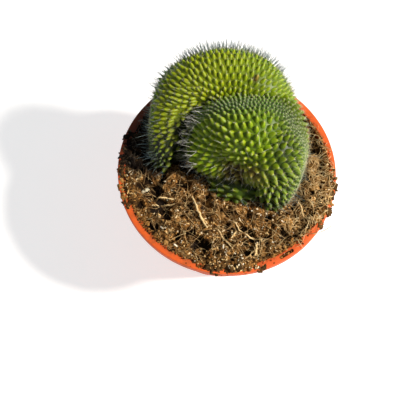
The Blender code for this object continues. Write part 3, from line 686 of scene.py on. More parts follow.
def grow_tubercles(points):
    """Corners, faces and heights of every tubercle, each a blunt curved cone, and their tips."""
    normals, axes, youth, rear, lean = tubercle_frames(points)
    spacing = local_spacing(points)
    draw = np.random.default_rng(8)
    length = TUBERCLE_LENGTH * (1 - YOUNG_SHORTER * youth) * draw.uniform(0.9, 1.1, len(points))
    start = unit(normals + 0.6 * axes)
    side = unit(np.cross(axes, lean + 0.01 * MM))
    other = np.cross(axes, side)
    stretch = 1 + (ROW_STRETCH - 1) * (1 - youth)
    circle = rings(side * (TUBERCLE_SLIM / stretch)[:, None], other * stretch[:, None], TUBERCLE_SIDES)
    blunt = 1 - 0.12 * (1 - rear) * (1 - youth)
    levels = []
    for along, width in TUBERCLE_PROFILE:
        bend = max(along, 0) ** 2 * 0.5
        middle = points + length[:, None] * (along * start + bend * (axes - start))
        levels.append(middle[:, None] + circle * (width * blunt * spacing)[:, None, None])
    verts = np.stack(levels, axis=1).reshape(-1, 3)
    heights = np.repeat([max(along, 0) for along, _ in TUBERCLE_PROFILE], TUBERCLE_SIDES)
    up = np.tile(heights, len(points))
    faces = repeated(bands(len(TUBERCLE_PROFILE), TUBERCLE_SIDES), len(points), len(heights))
    tips = points + length[:, None] * (0.97 * start + 0.47 * (axes - start))
    return verts, faces, up, tips, axes, youth, rear


# Living cactus flesh: light leaks through the wet tissue, so the tubercles glow yellow-green, and
# the waxy skin gives them a soft broad shine. Grown tubercles pale towards their tips and are
# painted darker at their bases, as the shade between them; those of the rear fold are more golden,
# young ones are greyer, and old ones are corky. Shade is painted dark into the hollows, the groove,
# the foot and the sides, and sunlight is painted as a golden tint on the middle of the dome.
# The skin's real grain is finer than can show, so it is drawn 0.5 mm wide.
WAX_GRAIN = 0.5 * MM
FLESH_TINTS = {
    "grown": ((0.0, "#5C760A"), (0.30, "#6E880C"), (0.60, "#798F10"), (0.84, "#829220"), (1.0, "#949C4A")),
    "golden": ((0.0, "#768406"), (0.30, "#828E08"), (0.60, "#88940A"), (0.84, "#8C961E"), (1.0, "#98A04C")),
    "young": ((0.0, "#3C5420"), (0.35, "#486428"), (0.75, "#5A7438"), (1.0, "#7E9060")),
    "aged": ((0.0, "#4A3214"), (0.40, "#70601E"), (0.75, "#8A7A34"), (1.0, "#AE9C5A")),
}
flesh = new_material("waxy_cactus_flesh")
place = add(flesh, "TexCoord", {}, "Object")
stored = {}
for name in ("up", "gold_and_sunlight", "youth", "old", "low", "shaded", "tone"):
    stored[name] = add(flesh, "Attribute", {}, "Fac", attribute_name=name)
tint = {}
for name, stops in FLESH_TINTS.items():
    tint[name] = add(flesh, "ValToRGB", {"Fac": stored["up"]}, stops=stops)
young_share = add(flesh, "Math", {0: stored["youth"], 1: 1.6}, operation="POWER")
# Painted shade low down near the soil, a dark green.
low_share = add(flesh, "Math", {0: stored["low"], 1: 0.6}, operation="MULTIPLY")
tone_share = add(flesh, "Math", {0: stored["tone"], 1: 0.4}, operation="MULTIPLY")
# Painted shade: the shaded share turns the flesh to a near-black green, or brown where it is old, and less
# so towards the tubercles' tips.
lit_tip = add(flesh, "Math", {0: stored["up"], 1: -0.8, 2: 0.95}, operation="MULTIPLY_ADD")
painted_shade_share = add(flesh, "Math", {0: stored["shaded"], 1: lit_tip}, operation="MULTIPLY")
painted_shade_tint = add(flesh, "Mix", {0: stored["old"], 6: "#12190E", 7: "#1A100A"}, 2, data_type="RGBA")
shade = tint["grown"]
# The golden share is the rear fold's own tone and also painted sunlight on the dome.
for share, colour, blend in (
    (stored["gold_and_sunlight"], tint["golden"], "MIX"),
    (young_share, tint["young"], "MIX"),
    (low_share, "#1F2F0E", "MIX"),
    (stored["old"], tint["aged"], "MIX"),
    (painted_shade_share, painted_shade_tint, "MIX"),
    (tone_share, "#D8D86A", "SOFT_LIGHT"),
):
    shade = add(flesh, "Mix", {0: share, 6: shade, 7: colour}, 2, data_type="RGBA", blend_type=blend)
grain = add(flesh, "TexNoise", {"Vector": place, "Scale": 1 / WAX_GRAIN, "Detail": 2, "Roughness": 0.6})
relief = add(flesh, "Bump", {"Height": grain, "Distance": 0.08 * MM, "Strength": 0.5})
waxy = {"Base Color": shade, "Normal": relief, "Roughness": 0.46, "Specular IOR Level": 0.28, "IOR": 1.5}
moist = {"Subsurface Weight": 0.75, "Subsurface Scale": 3.5 * MM, "Subsurface Radius": (0.5, 0.8, 0.15)}
add(flesh, "OutputMaterial", {"Surface": add(flesh, "BsdfPrincipled", {**waxy, **moist})})

places = spread_tubercles()
verts, faces, up, tips, axes, youth, rear = grow_tubercles(places)
corners_each = len(verts) // len(places)
looks = region_values(places, youth, rear)
looks["tone"] = np.random.default_rng(21).random(len(places))
for name, chosen, stands_for in (
    ("front_fold_tubercles", rear <= 0.5, ("crested_cactus",)),
    ("rear_fold_tubercles", rear > 0.5, ()),
):
    own_corners = np.repeat(chosen, corners_each)
    renumber = np.cumsum(own_corners) - 1
    own_faces = renumber[faces[own_corners[faces[:, 0]]]]
    values = {value_name: np.repeat(numbers[chosen], corners_each) for value_name, numbers in looks.items()}
    shape = (verts[own_corners], own_faces)
    piece(name, shape, flesh, "cactus_flesh", stands_for, up=up[own_corners], **values)
skin_verts, skin_faces, skin_values = body_skin()
piece("cactus_skin", (skin_verts, skin_faces), flesh, "cactus_flesh", **skin_values)


# The spines: every tubercle ends in a star of fine white spines round two or three longer ones.
# Grey hair-like spines stand 3 to 17 mm off the rear growing line and round the foot, and ivory
# ones cross the hollows. Each grows out of its tubercle's tip.
HIGHEST_SPINE = 193 * MM
RADIAL_SPINES = 9


def halved(quads):
    """Each quad as two triangles."""
    return np.vstack([quads[:, [0, 1, 2]], quads[:, [0, 2, 3]]])


def needles(roots, directions, lengths, radius, bend=0, segments=1):
    """Thin three-sided tapering spines. bend is how far each tip is pushed aside, as a vector."""
    side = unit(np.cross(directions, np.array([0.13, 0.71, 0.37])))
    circle = rings(side, np.cross(directions, side), 3)
    levels = []
    for t in np.arange(segments) / segments:
        middle = roots + directions * (lengths * t)[:, None] + bend * t**2
        levels.append(middle[:, None] + circle * (radius * (1 - 0.85 * t))[:, None, None])
    tip = roots + directions * lengths[:, None] + bend
    verts = np.concatenate(levels + [tip[:, None]], axis=1)
    point = verts.shape[1] - 1
    top = point - 3
    one = [(top + i, top + (i + 1) % 3, point) for i in range(3)]
    if segments > 1:
        one = np.vstack([halved(bands(segments, 3)), one])
    return verts.reshape(-1, 3), repeated(one, len(roots), point + 1)


def join(parts):
    """Several (corners, triangles) as one."""
    starts = np.cumsum([0] + [len(part_verts) for part_verts, _ in parts[:-1]])
    faces = [part_faces + start for (_, part_faces), start in zip(parts, starts)]
    return np.vstack([part_verts for part_verts, _ in parts]), np.vstack(faces)


def white_stars():
    """The short white spines, which are longer and thicker on the tail and low down."""
    draw = np.random.default_rng(33)
    count = len(tips)
    side = unit(np.cross(axes, np.array([0.2, 0.9, 0.4])))
    other = np.cross(axes, side)
    x, z = tips[:, 0] / MM, (tips[:, 2] - RIM_TOP) / MM
    bristly = np.clip(smoothstep(30, 46, x) + smoothstep(20, 6, z) + 0.5 * youth, 0, 1)
    parts = []
    for i in range(RADIAL_SPINES):
        angle = 2 * math.pi * i / RADIAL_SPINES + draw.uniform(-0.3, 0.3, count)
        tilt = draw.uniform(0.3, 0.8, count)
        out = np.cos(angle)[:, None] * side + np.sin(angle)[:, None] * other
        direction = unit(out + tilt[:, None] * axes)
        size = draw.uniform(1.5, 2.6, count) * MM * (1 + 0.4 * bristly) * (1 - 0.3 * youth)
        parts.append(needles(tips - axes * 0.1 * MM, direction, size, (0.04 + 0.03 * bristly) * MM))
    for share, shortest, longest in ((0.9, 2.0, 3.6), (0.7, 2.0, 4.0), (0.22, 4, 7)):
        chosen = draw.random(count) < share
        n = int(chosen.sum())
        direction = unit(axes[chosen] + draw.normal(0, 0.28, (n, 3)))
        size = draw.uniform(shortest, longest, n) * MM
        bend = draw.normal(0, 0.10, (n, 3)) * size[:, None]
        parts.append(needles(tips[chosen], direction, size, np.full(n, 0.055 * MM), bend, 2))
    return join(parts)


def fan(draw, chance, sizes, radius, spread, push=(0, 0, 0)):
    """Long thin bent spines on the tubercles that the chance picks, kept under the highest point.
    Sizes and the radius are in millimetres, and push is the same for all or one for each."""
    chosen = draw.random(len(tips)) < chance
    n = int(chosen.sum())
    pushed = push if np.ndim(push) == 1 else push[chosen]
    direction = unit(axes[chosen] + draw.normal(0, spread, (n, 3)) + pushed)
    size = draw.uniform(*sizes, n) * MM
    tall = tips[chosen][:, 2] + direction[:, 2] * size
    size = size * np.where(tall > HIGHEST_SPINE, 0.5, 1)
    bend = draw.normal(0, 0.11, (n, 3)) * size[:, None]
    return needles(tips[chosen], direction, size, np.full(n, radius * MM), bend, 4)


def grey_hairs():
    """Long soft spines along the rear growing line, round the foot and on the upper left."""
    draw = np.random.default_rng(35)
    x, z = tips[:, 0] / MM, (tips[:, 2] - RIM_TOP) / MM
    crest_height = smoothstep(24, 46, z)
    flank = rear * smoothstep(-46, -56, x)
    high = (0.12 + 0.88 * crest_height) * (0.35 + 0.65 * smoothstep(-50, -38, x))
    high = high * (1 - 0.85 * smoothstep(20, 38, x))
    chance = 0.9 * youth * rear * high + 0.03 * youth + 0.3 * smoothstep(12, 3, z) + 0.06 * flank
    chance = np.clip(chance, 0, 1)
    outward = unit((tips - HEART) * np.array([1, 1, 0])) * (0.9 * rear * youth)[:, None]
    parts = [fan(draw, chance, (5, 10), 0.13, 0.30, outward) for _ in range(4)]
    parts += [fan(draw, chance * crest_height, (2.5, 6), 0.09, 0.4, outward) for _ in range(3)]
    parts.append(fan(draw, 0.35 * chance, (10, 14), 0.17, 0.25, outward))
    upper_left = smoothstep(-52, -46, x) * smoothstep(-16, -22, x)
    parts.append(fan(draw, 0.14 * youth * rear * upper_left, (12, 17), 0.14, 0.2, outward))
    return join(parts)


def ivory_crossings():
    """The spines that cross the dark hollows left of the front fold, at its foot and in the groove."""
    draw = np.random.default_rng(36)
    place = tips / MM - np.array([0, 0, RIM_TOP / MM])
    x, y, z = place.T
    left = (1 - rear) * smoothstep(-19, -25, x) * smoothstep(54, 44, z)
    foot = bell(place[:, :2], (7, -11), (13, 7)) * smoothstep(32, 20, z)
    lower_dome = (1 - rear) * bell(place[:, :2], (12, -2), (12, 9)) * smoothstep(20, 30, z)
    groove = rear * smoothstep(26, 18, y) * smoothstep(20, 30, z)
    groove = groove * smoothstep(10, 0, x) * smoothstep(-44, -36, x)
    parts = [fan(draw, 0.2 * left, (8, 14), 0.12, 0.6, (-0.4, -0.1, 0.3)) for _ in range(5)]
    parts += [fan(draw, 0.8 * foot, (5, 10), 0.13, 0.5) for _ in range(2)]
    parts.append(fan(draw, 0.5 * lower_dome, (5, 11), 0.12, 0.6))
    parts += [fan(draw, 0.5 * groove, (3, 6), 0.1, 0.6) for _ in range(2)]
    return join(parts)


def rear_foot_shade(material, place):
    """A mask that is high low on the left of the rear fold, where shade is painted on the spines and wool.
    """
    x, _, z = add(material, "SeparateXYZ", {"Vector": place}).node.outputs
    slanted = add(material, "Math", {0: x, 1: -0.75, 2: z}, operation="MULTIPLY_ADD")
    edge = RIM_TOP + 67 * MM
    low = add(material, "MapRange", {"Value": slanted, "From Min": edge, "From Max": edge - 6 * MM})
    reach = {"From Min": -34 * MM, "From Max": -42 * MM, "To Max": 0.75}
    left = add(material, "MapRange", {"Value": x, **reach})
    return add(material, "Math", {0: low, 1: left}, operation="MULTIPLY")


# Horny spines: hard, smooth and faintly glossy. The tints run unevenly from spine to spine. White
# ones look cream against the green, hair-like ones look bluish grey, and ivory ones are bleached.
SPINE_TINTS = {
    "white_spines": (4 * MM, 0.45, "#A8AA80", "#CCCCA8"),
    "grey_hair_spines": (6 * MM, 0.4, "#3C525A", "#869894"),
    "ivory_spines": (5 * MM, 0.45, "#D6D2C2", "#F6F4EC"),
}
horn = {}
for name, (patch, roughness, dull, bright) in SPINE_TINTS.items():
    spine = new_material(name)
    place = add(spine, "TexCoord", {}, "Object")
    uneven = add(spine, "TexNoise", {"Vector": place, "Scale": 1 / patch, "Detail": 1, "Roughness": 0.6})
    colour = add(spine, "ValToRGB", {"Fac": uneven}, stops=((0.35, dull), (0.65, bright)))
    if name == "white_spines":
        # Painted shade: low on the rear fold's left the white spines are darkened.
        shade = rear_foot_shade(spine, place)
        colour = add(spine, "Mix", {0: shade, 6: colour, 7: "#1E241C"}, 2, data_type="RGBA")
    hard = add(spine, "BsdfPrincipled", {"Base Color": colour, "Roughness": roughness})
    add(spine, "OutputMaterial", {"Surface": hard})
    horn[name] = spine
piece("cactus_spines", white_stars(), horn["white_spines"], "cactus_flesh")
piece("cactus_hairs", grey_hairs(), horn["grey_hair_spines"], "cactus_flesh")
piece("hollow_spines", ivory_crossings(), horn["ivory_spines"], "cactus_flesh")


# The wool: a tiny tuft of matted cream hair on the tip of every tubercle, out of which its spines
# grow. Each tuft is a lumpy bead, and low on the left it is painted dark as shade, like the spines there.
TUFT_RADIUS = 0.30 * MM


def blob(detail):
    """Corners and triangles of an icosphere of radius 1."""
    bm = bmesh.new()
    bmesh.ops.create_icosphere(bm, subdivisions=max(detail, 1), radius=1)
    corners = np.array([tuple(v.co) for v in bm.verts])
    triangles = np.array([[v.index for v in f.verts] for f in bm.faces])
    bm.free()
    return corners, triangles


def lump_noise(places, seed):
    """Smooth noise between -1 and 1 on a lattice of unit cells, in three dimensions."""
    table = np.random.default_rng(seed).uniform(-1, 1, (32, 32, 32))
    cell = np.floor(places).astype(int)
    t = places - cell
    t = t * t * (3 - 2 * t)
    total = 0
    for corner in np.ndindex(2, 2, 2):
        weight = np.prod(np.where(np.array(corner) == 1, t, 1 - t), axis=-1)
        i, j, k = (np.moveaxis(cell + np.array(corner), -1, 0)) % 32
        total = total + weight * table[i, j, k]
    return total


def scatter_blobs(detail, centres, sizes, seed, rough, flat):
    """Many lumpy blobs, each turned and squashed its own way."""
    draw = np.random.default_rng(seed)
    corners, triangles = blob(detail)
    n = len(centres)
    spin = draw.normal(size=(n, 4))
    spin /= np.linalg.norm(spin, axis=1, keepdims=True)
    w, x, y, z = spin.T
    rows = [
        [1 - 2 * (y * y + z * z), 2 * (x * y - z * w), 2 * (x * z + y * w)],
        [2 * (x * y + z * w), 1 - 2 * (x * x + z * z), 2 * (y * z - x * w)],
        [2 * (x * z - y * w), 2 * (y * z + x * w), 1 - 2 * (x * x + y * y)],
    ]
    turn = np.array(rows).transpose(2, 0, 1)
    place = corners[None] + draw.uniform(0, 30, (n, 1, 3))
    shape = 1 + rough * (1.5 * lump_noise(place * 1.2, seed) + lump_noise(place * 2.7, seed + 1))
    shape += rough * 0.7 * lump_noise(place * 5.5, seed + 2)
    local = corners[None] * shape[..., None] * draw.uniform(0.7, 1.2, (n, 1, 3))
    local = np.einsum("nij,nvj->nvi", turn, local) * sizes[:, None, None]
    local[..., 2] *= flat
    verts = (centres[:, None] + local).reshape(-1, 3)
    return verts, repeated(triangles, n, len(corners))


# Areole wool: matted and quite dull, cream with a green cast from the flesh under it.
WOOL_PATCH = 3 * MM
wool = new_material("areole_wool")
place = add(wool, "TexCoord", {}, "Object")
uneven = add(wool, "TexNoise", {"Vector": place, "Scale": 1 / WOOL_PATCH, "Detail": 1, "Roughness": 0.6})
colour = add(wool, "ValToRGB", {"Fac": uneven}, stops=((0.35, "#94964E"), (0.65, "#B4B474")))
# Painted shade: low on the rear fold's left the wool is darkened.
shade = rear_foot_shade(wool, place)
colour = add(wool, "Mix", {0: shade, 6: colour, 7: "#1E241C"}, 2, data_type="RGBA")
matted = add(wool, "BsdfPrincipled", {"Base Color": colour, "Roughness": 0.95})
add(wool, "OutputMaterial", {"Surface": matted})
tufts = scatter_blobs(0, tips, TUFT_RADIUS * (1 - 0.3 * youth), 12, 0.1, 1)
piece("cactus_wool", tufts, wool, "cactus_flesh")


# The soil: coarse damp peat and coir, filled to the rim and spilled over it in places. Its top is
# a rough bed with deep shaded pits, which keeps the heights of the solid that it stands for, and
# under it a packed fill reaches down to the pot's floor.
SOIL_STEP = 0.75 * MM
CALM_FROM = 76 * MM
ON_RIM_FROM = 76.5 * MM
ON_RIM = RIM_TOP + 0.05 * MM
LOWEST_TOP = 105 * MM
CORE_TOP = 106 * MM
PACKED_GAP = 0.3 * MM
DROP_FROM = 300 * MM
LUMPS = ((5.0, 1.9), (2.2, 1.1), (1.0, 0.6))
PIT_PATCH = 6.0 * MM
PIT_EDGE = 1.6 * MM
PIT_DEPTH = 5.5 * MM
# The pits that the photograph shows, as x, y and radius in mm.
PITS = (
    (-7, -65, 5), (-41, -45.5, 4.2), (-21.5, -55.5, 4.5), (6.5, -46.5, 3.6), (-13.5, -32.5, 4),
    (37, -52, 3.6), (49.5, -45, 3.2), (-62, -40, 3.6), (-48, -33.5, 3), (21, -58, 3), (72, -7.5, 3),
    (66, 22, 3.5), (-67, -14, 4),
)


def value_noise(x, y, seed):
    """Smooth noise between -1 and 1 on a lattice of unit cells."""
    table = np.random.default_rng(seed).uniform(-1, 1, (64, 64))
    xi, yi = np.floor(x).astype(int), np.floor(y).astype(int)
    tx, ty = x - xi, y - yi
    tx, ty = tx * tx * (3 - 2 * tx), ty * ty * (3 - 2 * ty)
    a, b = table[xi % 64, yi % 64], table[(xi + 1) % 64, yi % 64]
    c, d = table[xi % 64, (yi + 1) % 64], table[(xi + 1) % 64, (yi + 1) % 64]
    return (a * (1 - tx) + b * tx) * (1 - ty) + (c * (1 - tx) + d * tx) * ty


def height_under(tree, x, y):
    """The height of the first surface under a place, seen from well above it, or None."""
    hit = tree.ray_cast(Vector((x, y, DROP_FROM)), Vector((0, 0, -1)))[0]
    return hit.z if hit else None


def pit_share(x, y):
    """How deep in a pit each place is, from 0 to 1: some pits are random, and some are the known ones."""
    pits = smoothstep(0.16, 0.55, value_noise(x / PIT_PATCH, y / PIT_PATCH, 4))
    ragged = 0.25 * value_noise(x / PIT_EDGE, y / PIT_EDGE, 5)
    for pit_x, pit_y, radius in PITS:
        away = np.hypot(x - pit_x * MM, y - pit_y * MM) / (radius * MM)
        pits = np.maximum(pits, smoothstep(1.25, 0.6, away + ragged))
    return pits


def make_bed():
    """A fine grid over the solid soil's heights with lumps and pits, and how deep each corner is."""
    steps = int(2 * RIM_RADIUS / SOIL_STEP) + 1
    line = np.linspace(-RIM_RADIUS, RIM_RADIUS, steps)
    x, y = (grid.ravel() for grid in np.meshgrid(line, line))
    out = np.hypot(x, y)
    solid = BVHTree.FromObject(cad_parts["soil"], bpy.context.evaluated_depsgraph_get())
    inside = out**2 < RIM_RADIUS**2
    tops = [height_under(solid, px, py) if near else None for px, py, near in zip(x, y, inside)]
    there = np.array([top is not None and top > LOWEST_TOP for top in tops])
    height = np.array([top if ok else 0 for top, ok in zip(tops, there)])
    pits = pit_share(x, y)
    rough = -PIT_DEPTH * pits
    for seed, (width, tall) in enumerate(LUMPS, 1):
        rough += tall * MM * value_noise(x / (width * MM), y / (width * MM), seed)
    z = height + rough * np.where(out > CALM_FROM, 0.25, 1.0)
    z = np.where(out > ON_RIM_FROM, np.maximum(z, ON_RIM), z)
    index = np.arange(steps * steps).reshape(steps, steps)
    square = [index[:-1, :-1], index[:-1, 1:], index[1:, 1:], index[1:, :-1]]
    quads = np.stack(square, axis=-1).reshape(-1, 4)
    quads = quads[there[quads].all(axis=1)]
    used = np.unique(quads)
    renumber = np.full(len(x), -1)
    renumber[used] = np.arange(len(used))
    return np.column_stack([x, y, z])[used], renumber[quads], pits[used]


def painted_plant_shadow(material, place):
    """A mask for the soil left of the plant, where its shadow falls and is painted dark."""
    x, y, _ = add(material, "SeparateXYZ", {"Vector": place}).node.outputs
    reach = {"From Min": -40 * MM, "From Max": -56 * MM, "To Max": 0.93}
    left = add(material, "MapRange", {"Value": x, **reach})
    back = add(material, "MapRange", {"Value": y, "From Min": -22 * MM, "From Max": -10 * MM})
    return add(material, "Math", {0: left, 1: back}, operation="MULTIPLY")


# Damp peat with coir dust: crumbly and quite matt, from nearly black peat to pale dry fibre within
# a millimetre, and duller in patches. Shade is painted near black down in the pits, and so is the
# plant's shadow on the soil at its left.
PEAT_CRUMB = 0.9 * MM
PEAT_PATCH = 5 * MM
peat = new_material("damp_peat_and_coir")
place = add(peat, "TexCoord", {}, "Object")
crumb = add(peat, "TexNoise", {"Vector": place, "Scale": 1 / PEAT_CRUMB, "Detail": 5, "Roughness": 0.7})
patch = add(peat, "TexNoise", {"Vector": place, "Scale": 1 / PEAT_PATCH, "Detail": 4, "Roughness": 0.6})
PEAT_TINTS = ((0.30, "#120904"), (0.44, "#3C2610"), (0.56, "#80592C"), (0.70, "#BF9356"))
colour = add(peat, "ValToRGB", {"Fac": crumb}, stops=PEAT_TINTS)
dull = add(peat, "MapRange", {"Value": patch, "From Min": 0.42, "From Max": 0.58, "To Max": 0.434})
# Painted shade: the pits are darkened towards black by how far into a pit each place lies.
deep = add(peat, "Attribute", {}, "Fac", attribute_name="deep")
deep = add(peat, "Math", {0: deep, 1: 0.9}, operation="MULTIPLY")
# Duller patches, then the painted shade of the pits and the plant's painted shadow at the left.
for share, darker in ((dull, "#4E3318"), (deep, "#0A0503"), (painted_plant_shadow(peat, place), "#0C0A0A")):
    colour = add(peat, "Mix", {0: share, 6: colour, 7: darker}, 2, data_type="RGBA")
relief = add(peat, "Bump", {"Height": crumb, "Distance": 1.0 * MM, "Strength": 1.0})
crumbly = {"Base Color": colour, "Normal": relief, "Roughness": 0.95, "Specular IOR Level": 0.1}
add(peat, "OutputMaterial", {"Surface": add(peat, "BsdfPrincipled", crumbly)})
bed_verts, bed_faces, bed_deep = make_bed()
piece("soil_bed", (bed_verts, bed_faces), peat, "peat_and_coir", ("soil",), deep=bed_deep)

# Packed peat: the same soil pressed against the pot, dark and even.
PACKED_CRUMB = 1.2 * MM
PACKED_GRAIN = 1 * MM
earth = new_material("packed_peat")
place = add(earth, "TexCoord", {}, "Object")
crumb = add(earth, "TexNoise", {"Vector": place, "Scale": 1 / PACKED_CRUMB, "Detail": 5, "Roughness": 0.6})
colour = add(earth, "ValToRGB", {"Fac": crumb}, stops=((0.35, "#1A1008"), (0.65, "#4A331B")))
grain = add(earth, "TexNoise", {"Vector": place, "Scale": 1 / PACKED_GRAIN, "Detail": 4, "Roughness": 0.6})
relief = add(earth, "Bump", {"Height": grain, "Distance": 0.8 * MM, "Strength": 1.0})
packed = {"Base Color": colour, "Normal": relief, "Roughness": 0.95}
add(earth, "OutputMaterial", {"Surface": add(earth, "BsdfPrincipled", packed)})
core_foot = FLOOR_TOP + PACKED_GAP
core_profile = (
    (AXIS_GAP, CORE_TOP),
    (wall_inner(CORE_TOP) - PACKED_GAP, CORE_TOP),
    (FLOOR_RADIUS - 1 * MM, core_foot),
    (AXIS_GAP, core_foot),
)
piece("soil_core", lathe(core_profile, 96), earth, "peat_and_coir")


# The clods: lumps of peat 4 to 9 mm across, with smaller ones between them. They lie half sunk in
# the bed, clear of the pits and the plant, and are heaped up along parts of the rim.
CRUMBS_OUT_TO = 83.5 * MM
FILL_RADIUS = 77.5 * MM
SPILL_RADIUS = 86 * MM
PLANT_ROOM = 2.2 * MM
# The clods that the photograph shows, as x, y and radius in mm.
KNOWN_CLODS = (
    (-60, -28, 3.4), (28, -45.5, 3.4), (42.5, -42, 4.2), (50.5, -38.5, 3.6), (-15, -21, 3.4),
    (-6.5, -23, 3.0), (4.5, -68.5, 4.6), (18.5, -74, 4.2), (33.5, -63, 4.0), (-32, -37, 4.4),
    (-47, -57, 4.2), (59, -31.5, 3.6), (75, -17, 3.4), (-23, -43.5, 4.6), (12.5, -58, 4.0),
    (-74, -6, 4.4), (-72, 14, 4.6), (78, 2, 4.0), (-79, -12, 3.6),
)
# Each heap runs from one bearing to another, in degrees, and reaches so far past the rim, in mm.
HEAPS_ON_RIM = ((-93, -64, 0.8), (-27, 9, 1.1), (-24, 4, -1.6), (168, 212, 0.2))
# Small clods hide the inner edge of the rim between these bearings, in degrees.
INNER_EDGE = (-205, 25)


def bed_top(x, y):
    """The height of the soil, or of the bare rim, with whatever already lies there."""
    top = height_under(soil_surface, x, y)
    return ON_RIM if top is None else top


def surface_of(shapes):
    """A surface to drop things on, from (corners, faces) shapes."""
    verts, faces = [], []
    for shape_verts, shape_faces in shapes:
        faces += [tuple(f) for f in shape_faces + len(verts)]
        verts += [tuple(v) for v in shape_verts]
    return BVHTree.FromPolygons(verts, faces)


def clear_of_plant(x, y, gap):
    """True where this much room is left beside the plant at soil height."""
    place = np.column_stack([x, y, np.full(len(x), UNDERSIDE + 2 * MM)])
    return body_distance(place) > gap


def crumb_places(draw, count, sizes, apart, taken=()):
    """Places on the soil for crumbs of this range of sizes, kept apart by a share of their sizes."""
    placed = list(taken)
    for _ in range(count):
        bearing, out = draw.uniform(0, 2 * math.pi), CRUMBS_OUT_TO * math.sqrt(draw.uniform(0, 1))
        size = draw.uniform(*sizes) * MM
        x, y = out * math.cos(bearing), out * math.sin(bearing)
        if apart and placed:
            near = [(x - px) ** 2 + (y - py) ** 2 < (apart * (size + ps)) ** 2 for px, py, ps in placed]
            if any(near):
                continue
        placed.append((x, y, size))
    x, y, size = np.array(placed).T
    tops = np.array([bed_top(px, py) for px, py in zip(x, y)])
    out = np.hypot(x, y)
    on_soil = (out < FILL_RADIUS - 0.6 * size) | ((tops > RIM_TOP + 0.2 * MM) & (out < SPILL_RADIUS - size))
    keep = on_soil & clear_of_plant(x, y, np.minimum(size, PLANT_ROOM) + 1 * MM) & (pit_share(x, y) < 0.4)
    keep[: len(taken)] = True
    return x[keep], y[keep], tops[keep], size[keep]


# Dry clods: matt and crumbly like the bed. Each has a tint of its own, from black peat to pale
# coir and one bleached lump, and all of them are dusted with paler grains.
CLOD_GRAIN = 0.7 * MM
CLOD_TINTS = (
    (0.0, "#180D05"), (0.3, "#452C13"), (0.6, "#845A2A"),
    (0.85, "#AE7E42"), (0.95, "#C49558"), (1.0, "#E2DABC"),
)
crumbs = new_material("loose_crumbs")
place = add(crumbs, "TexCoord", {}, "Object")
grain = add(crumbs, "TexNoise", {"Vector": place, "Scale": 1 / CLOD_GRAIN, "Detail": 4, "Roughness": 0.7})
lump = add(crumbs, "Attribute", {}, "Fac", attribute_name="lump")
colour = add(crumbs, "ValToRGB", {"Fac": lump}, stops=CLOD_TINTS)
dusty = add(crumbs, "MapRange", {"Value": grain, "From Min": 0.35, "From Max": 0.65, "To Max": 0.254})
# Painted shadow: left of the plant the clods are darkened near black.
for share, other_tint in ((dusty, "#A88250"), (painted_plant_shadow(crumbs, place), "#0E0C0C")):
    colour = add(crumbs, "Mix", {0: share, 6: colour, 7: other_tint}, 2, data_type="RGBA")
relief = add(crumbs, "Bump", {"Height": grain, "Distance": 0.8 * MM, "Strength": 1.0})
crumbly = {"Base Color": colour, "Normal": relief, "Roughness": 0.95, "Specular IOR Level": 0.1}
add(crumbs, "OutputMaterial", {"Surface": add(crumbs, "BsdfPrincipled", crumbly)})

draw = np.random.default_rng(51)
known = [(x * MM, y * MM, size * MM) for x, y, size in KNOWN_CLODS]
for start, end, past in HEAPS_ON_RIM:
    for bearing in np.radians(np.arange(start, end, 2.4)):
        size = draw.uniform(1.8, 3.3) * MM
        out = RIM_RADIUS + past * MM - size * draw.uniform(0.7, 2.2)
        known.append((out * math.cos(bearing), out * math.sin(bearing), size))
for bearing in np.radians(np.arange(*INNER_EDGE, 2.6)):
    out = FLANGE_INNER + draw.uniform(-2.6, 0.2) * MM
    known.append((out * math.cos(bearing), out * math.sin(bearing), draw.uniform(1.2, 2.4) * MM))
soil_surface = surface_of([(bed_verts, bed_faces)])
covers = [(bed_verts, bed_faces)]
for number, (detail, count, sizes, apart, sunk, taken) in enumerate(
    ((3, 480, (2.2, 4.0), 0.85, 0.45, known), (2, 1000, (1.0, 2.2), 0.6, 0.3, ()))
):
    x, y, tops, radii = crumb_places(draw, count, sizes, apart, taken)
    centres = np.column_stack([x, y, tops - radii * sunk])
    clods = scatter_blobs(detail, centres, radii, 60 + 5 * number, 0.42, 0.8)
    covers.append(clods)
    tone = np.random.default_rng(70 + number).random(len(centres)) * 0.9
    tone[0] = 1.0 if taken else 0.5
    lump_tone = np.repeat(tone, len(clods[0]) // len(centres))
    piece(f"soil_clods_{number + 1}", clods, crumbs, "peat_and_coir", lump=lump_tone)
soil_surface = surface_of(covers)


# The litter over the clods: thousands of chips of bark, coir and peat, 1 to 4 mm long, that lie
# every way up. Some have rolled onto the rim and lie there in an uneven fringe and in its slots.
SLOT_ROWS = 18
FRINGE_FRONT = 4.6 * MM
FRINGE_RIGHT = 2.6 * MM
STRAY_RIM = 6 * MM
# The rim lies bare on both sides of this bearing.
BARE_BEARING = -2.3


def chips(places, lengths, thin, seed, steep=0.5):
    """Small rough splinters. Each lies along a random heading and is tipped up by a random angle."""
    draw = np.random.default_rng(seed)
    corners, triangles = blob(1)
    n = len(places)
    widths = lengths * thin
    heading, tip = draw.uniform(0, 2 * math.pi, n), draw.normal(0, steep, n)
    along = np.stack([np.cos(heading) * np.cos(tip), np.sin(heading) * np.cos(tip), np.sin(tip)], axis=1)
    side = unit(np.cross(along, np.array([0.02, 0.03, 1.0])))
    over = np.cross(side, along)
    shape = 1 + draw.uniform(-0.28, 0.28, (n, len(corners)))
    verts = places[:, None]
    for column, axis, size in ((0, along, lengths), (1, side, widths), (2, over, 0.6 * widths)):
        verts = verts + (corners[:, column] * shape)[..., None] * axis[:, None] * size[:, None, None]
    # These three axes are left-handed, so the triangles are turned over to face outwards.
    return verts.reshape(-1, 3), repeated(triangles[:, ::-1], n, len(corners))


def chip_places(draw, count, sizes):
    """Places for chips, a little proud of what they lie on, and their sizes."""
    x, y, tops, size = crumb_places(draw, count, sizes, 0)
    return np.column_stack([x, y, tops + 0.1 * size]), size


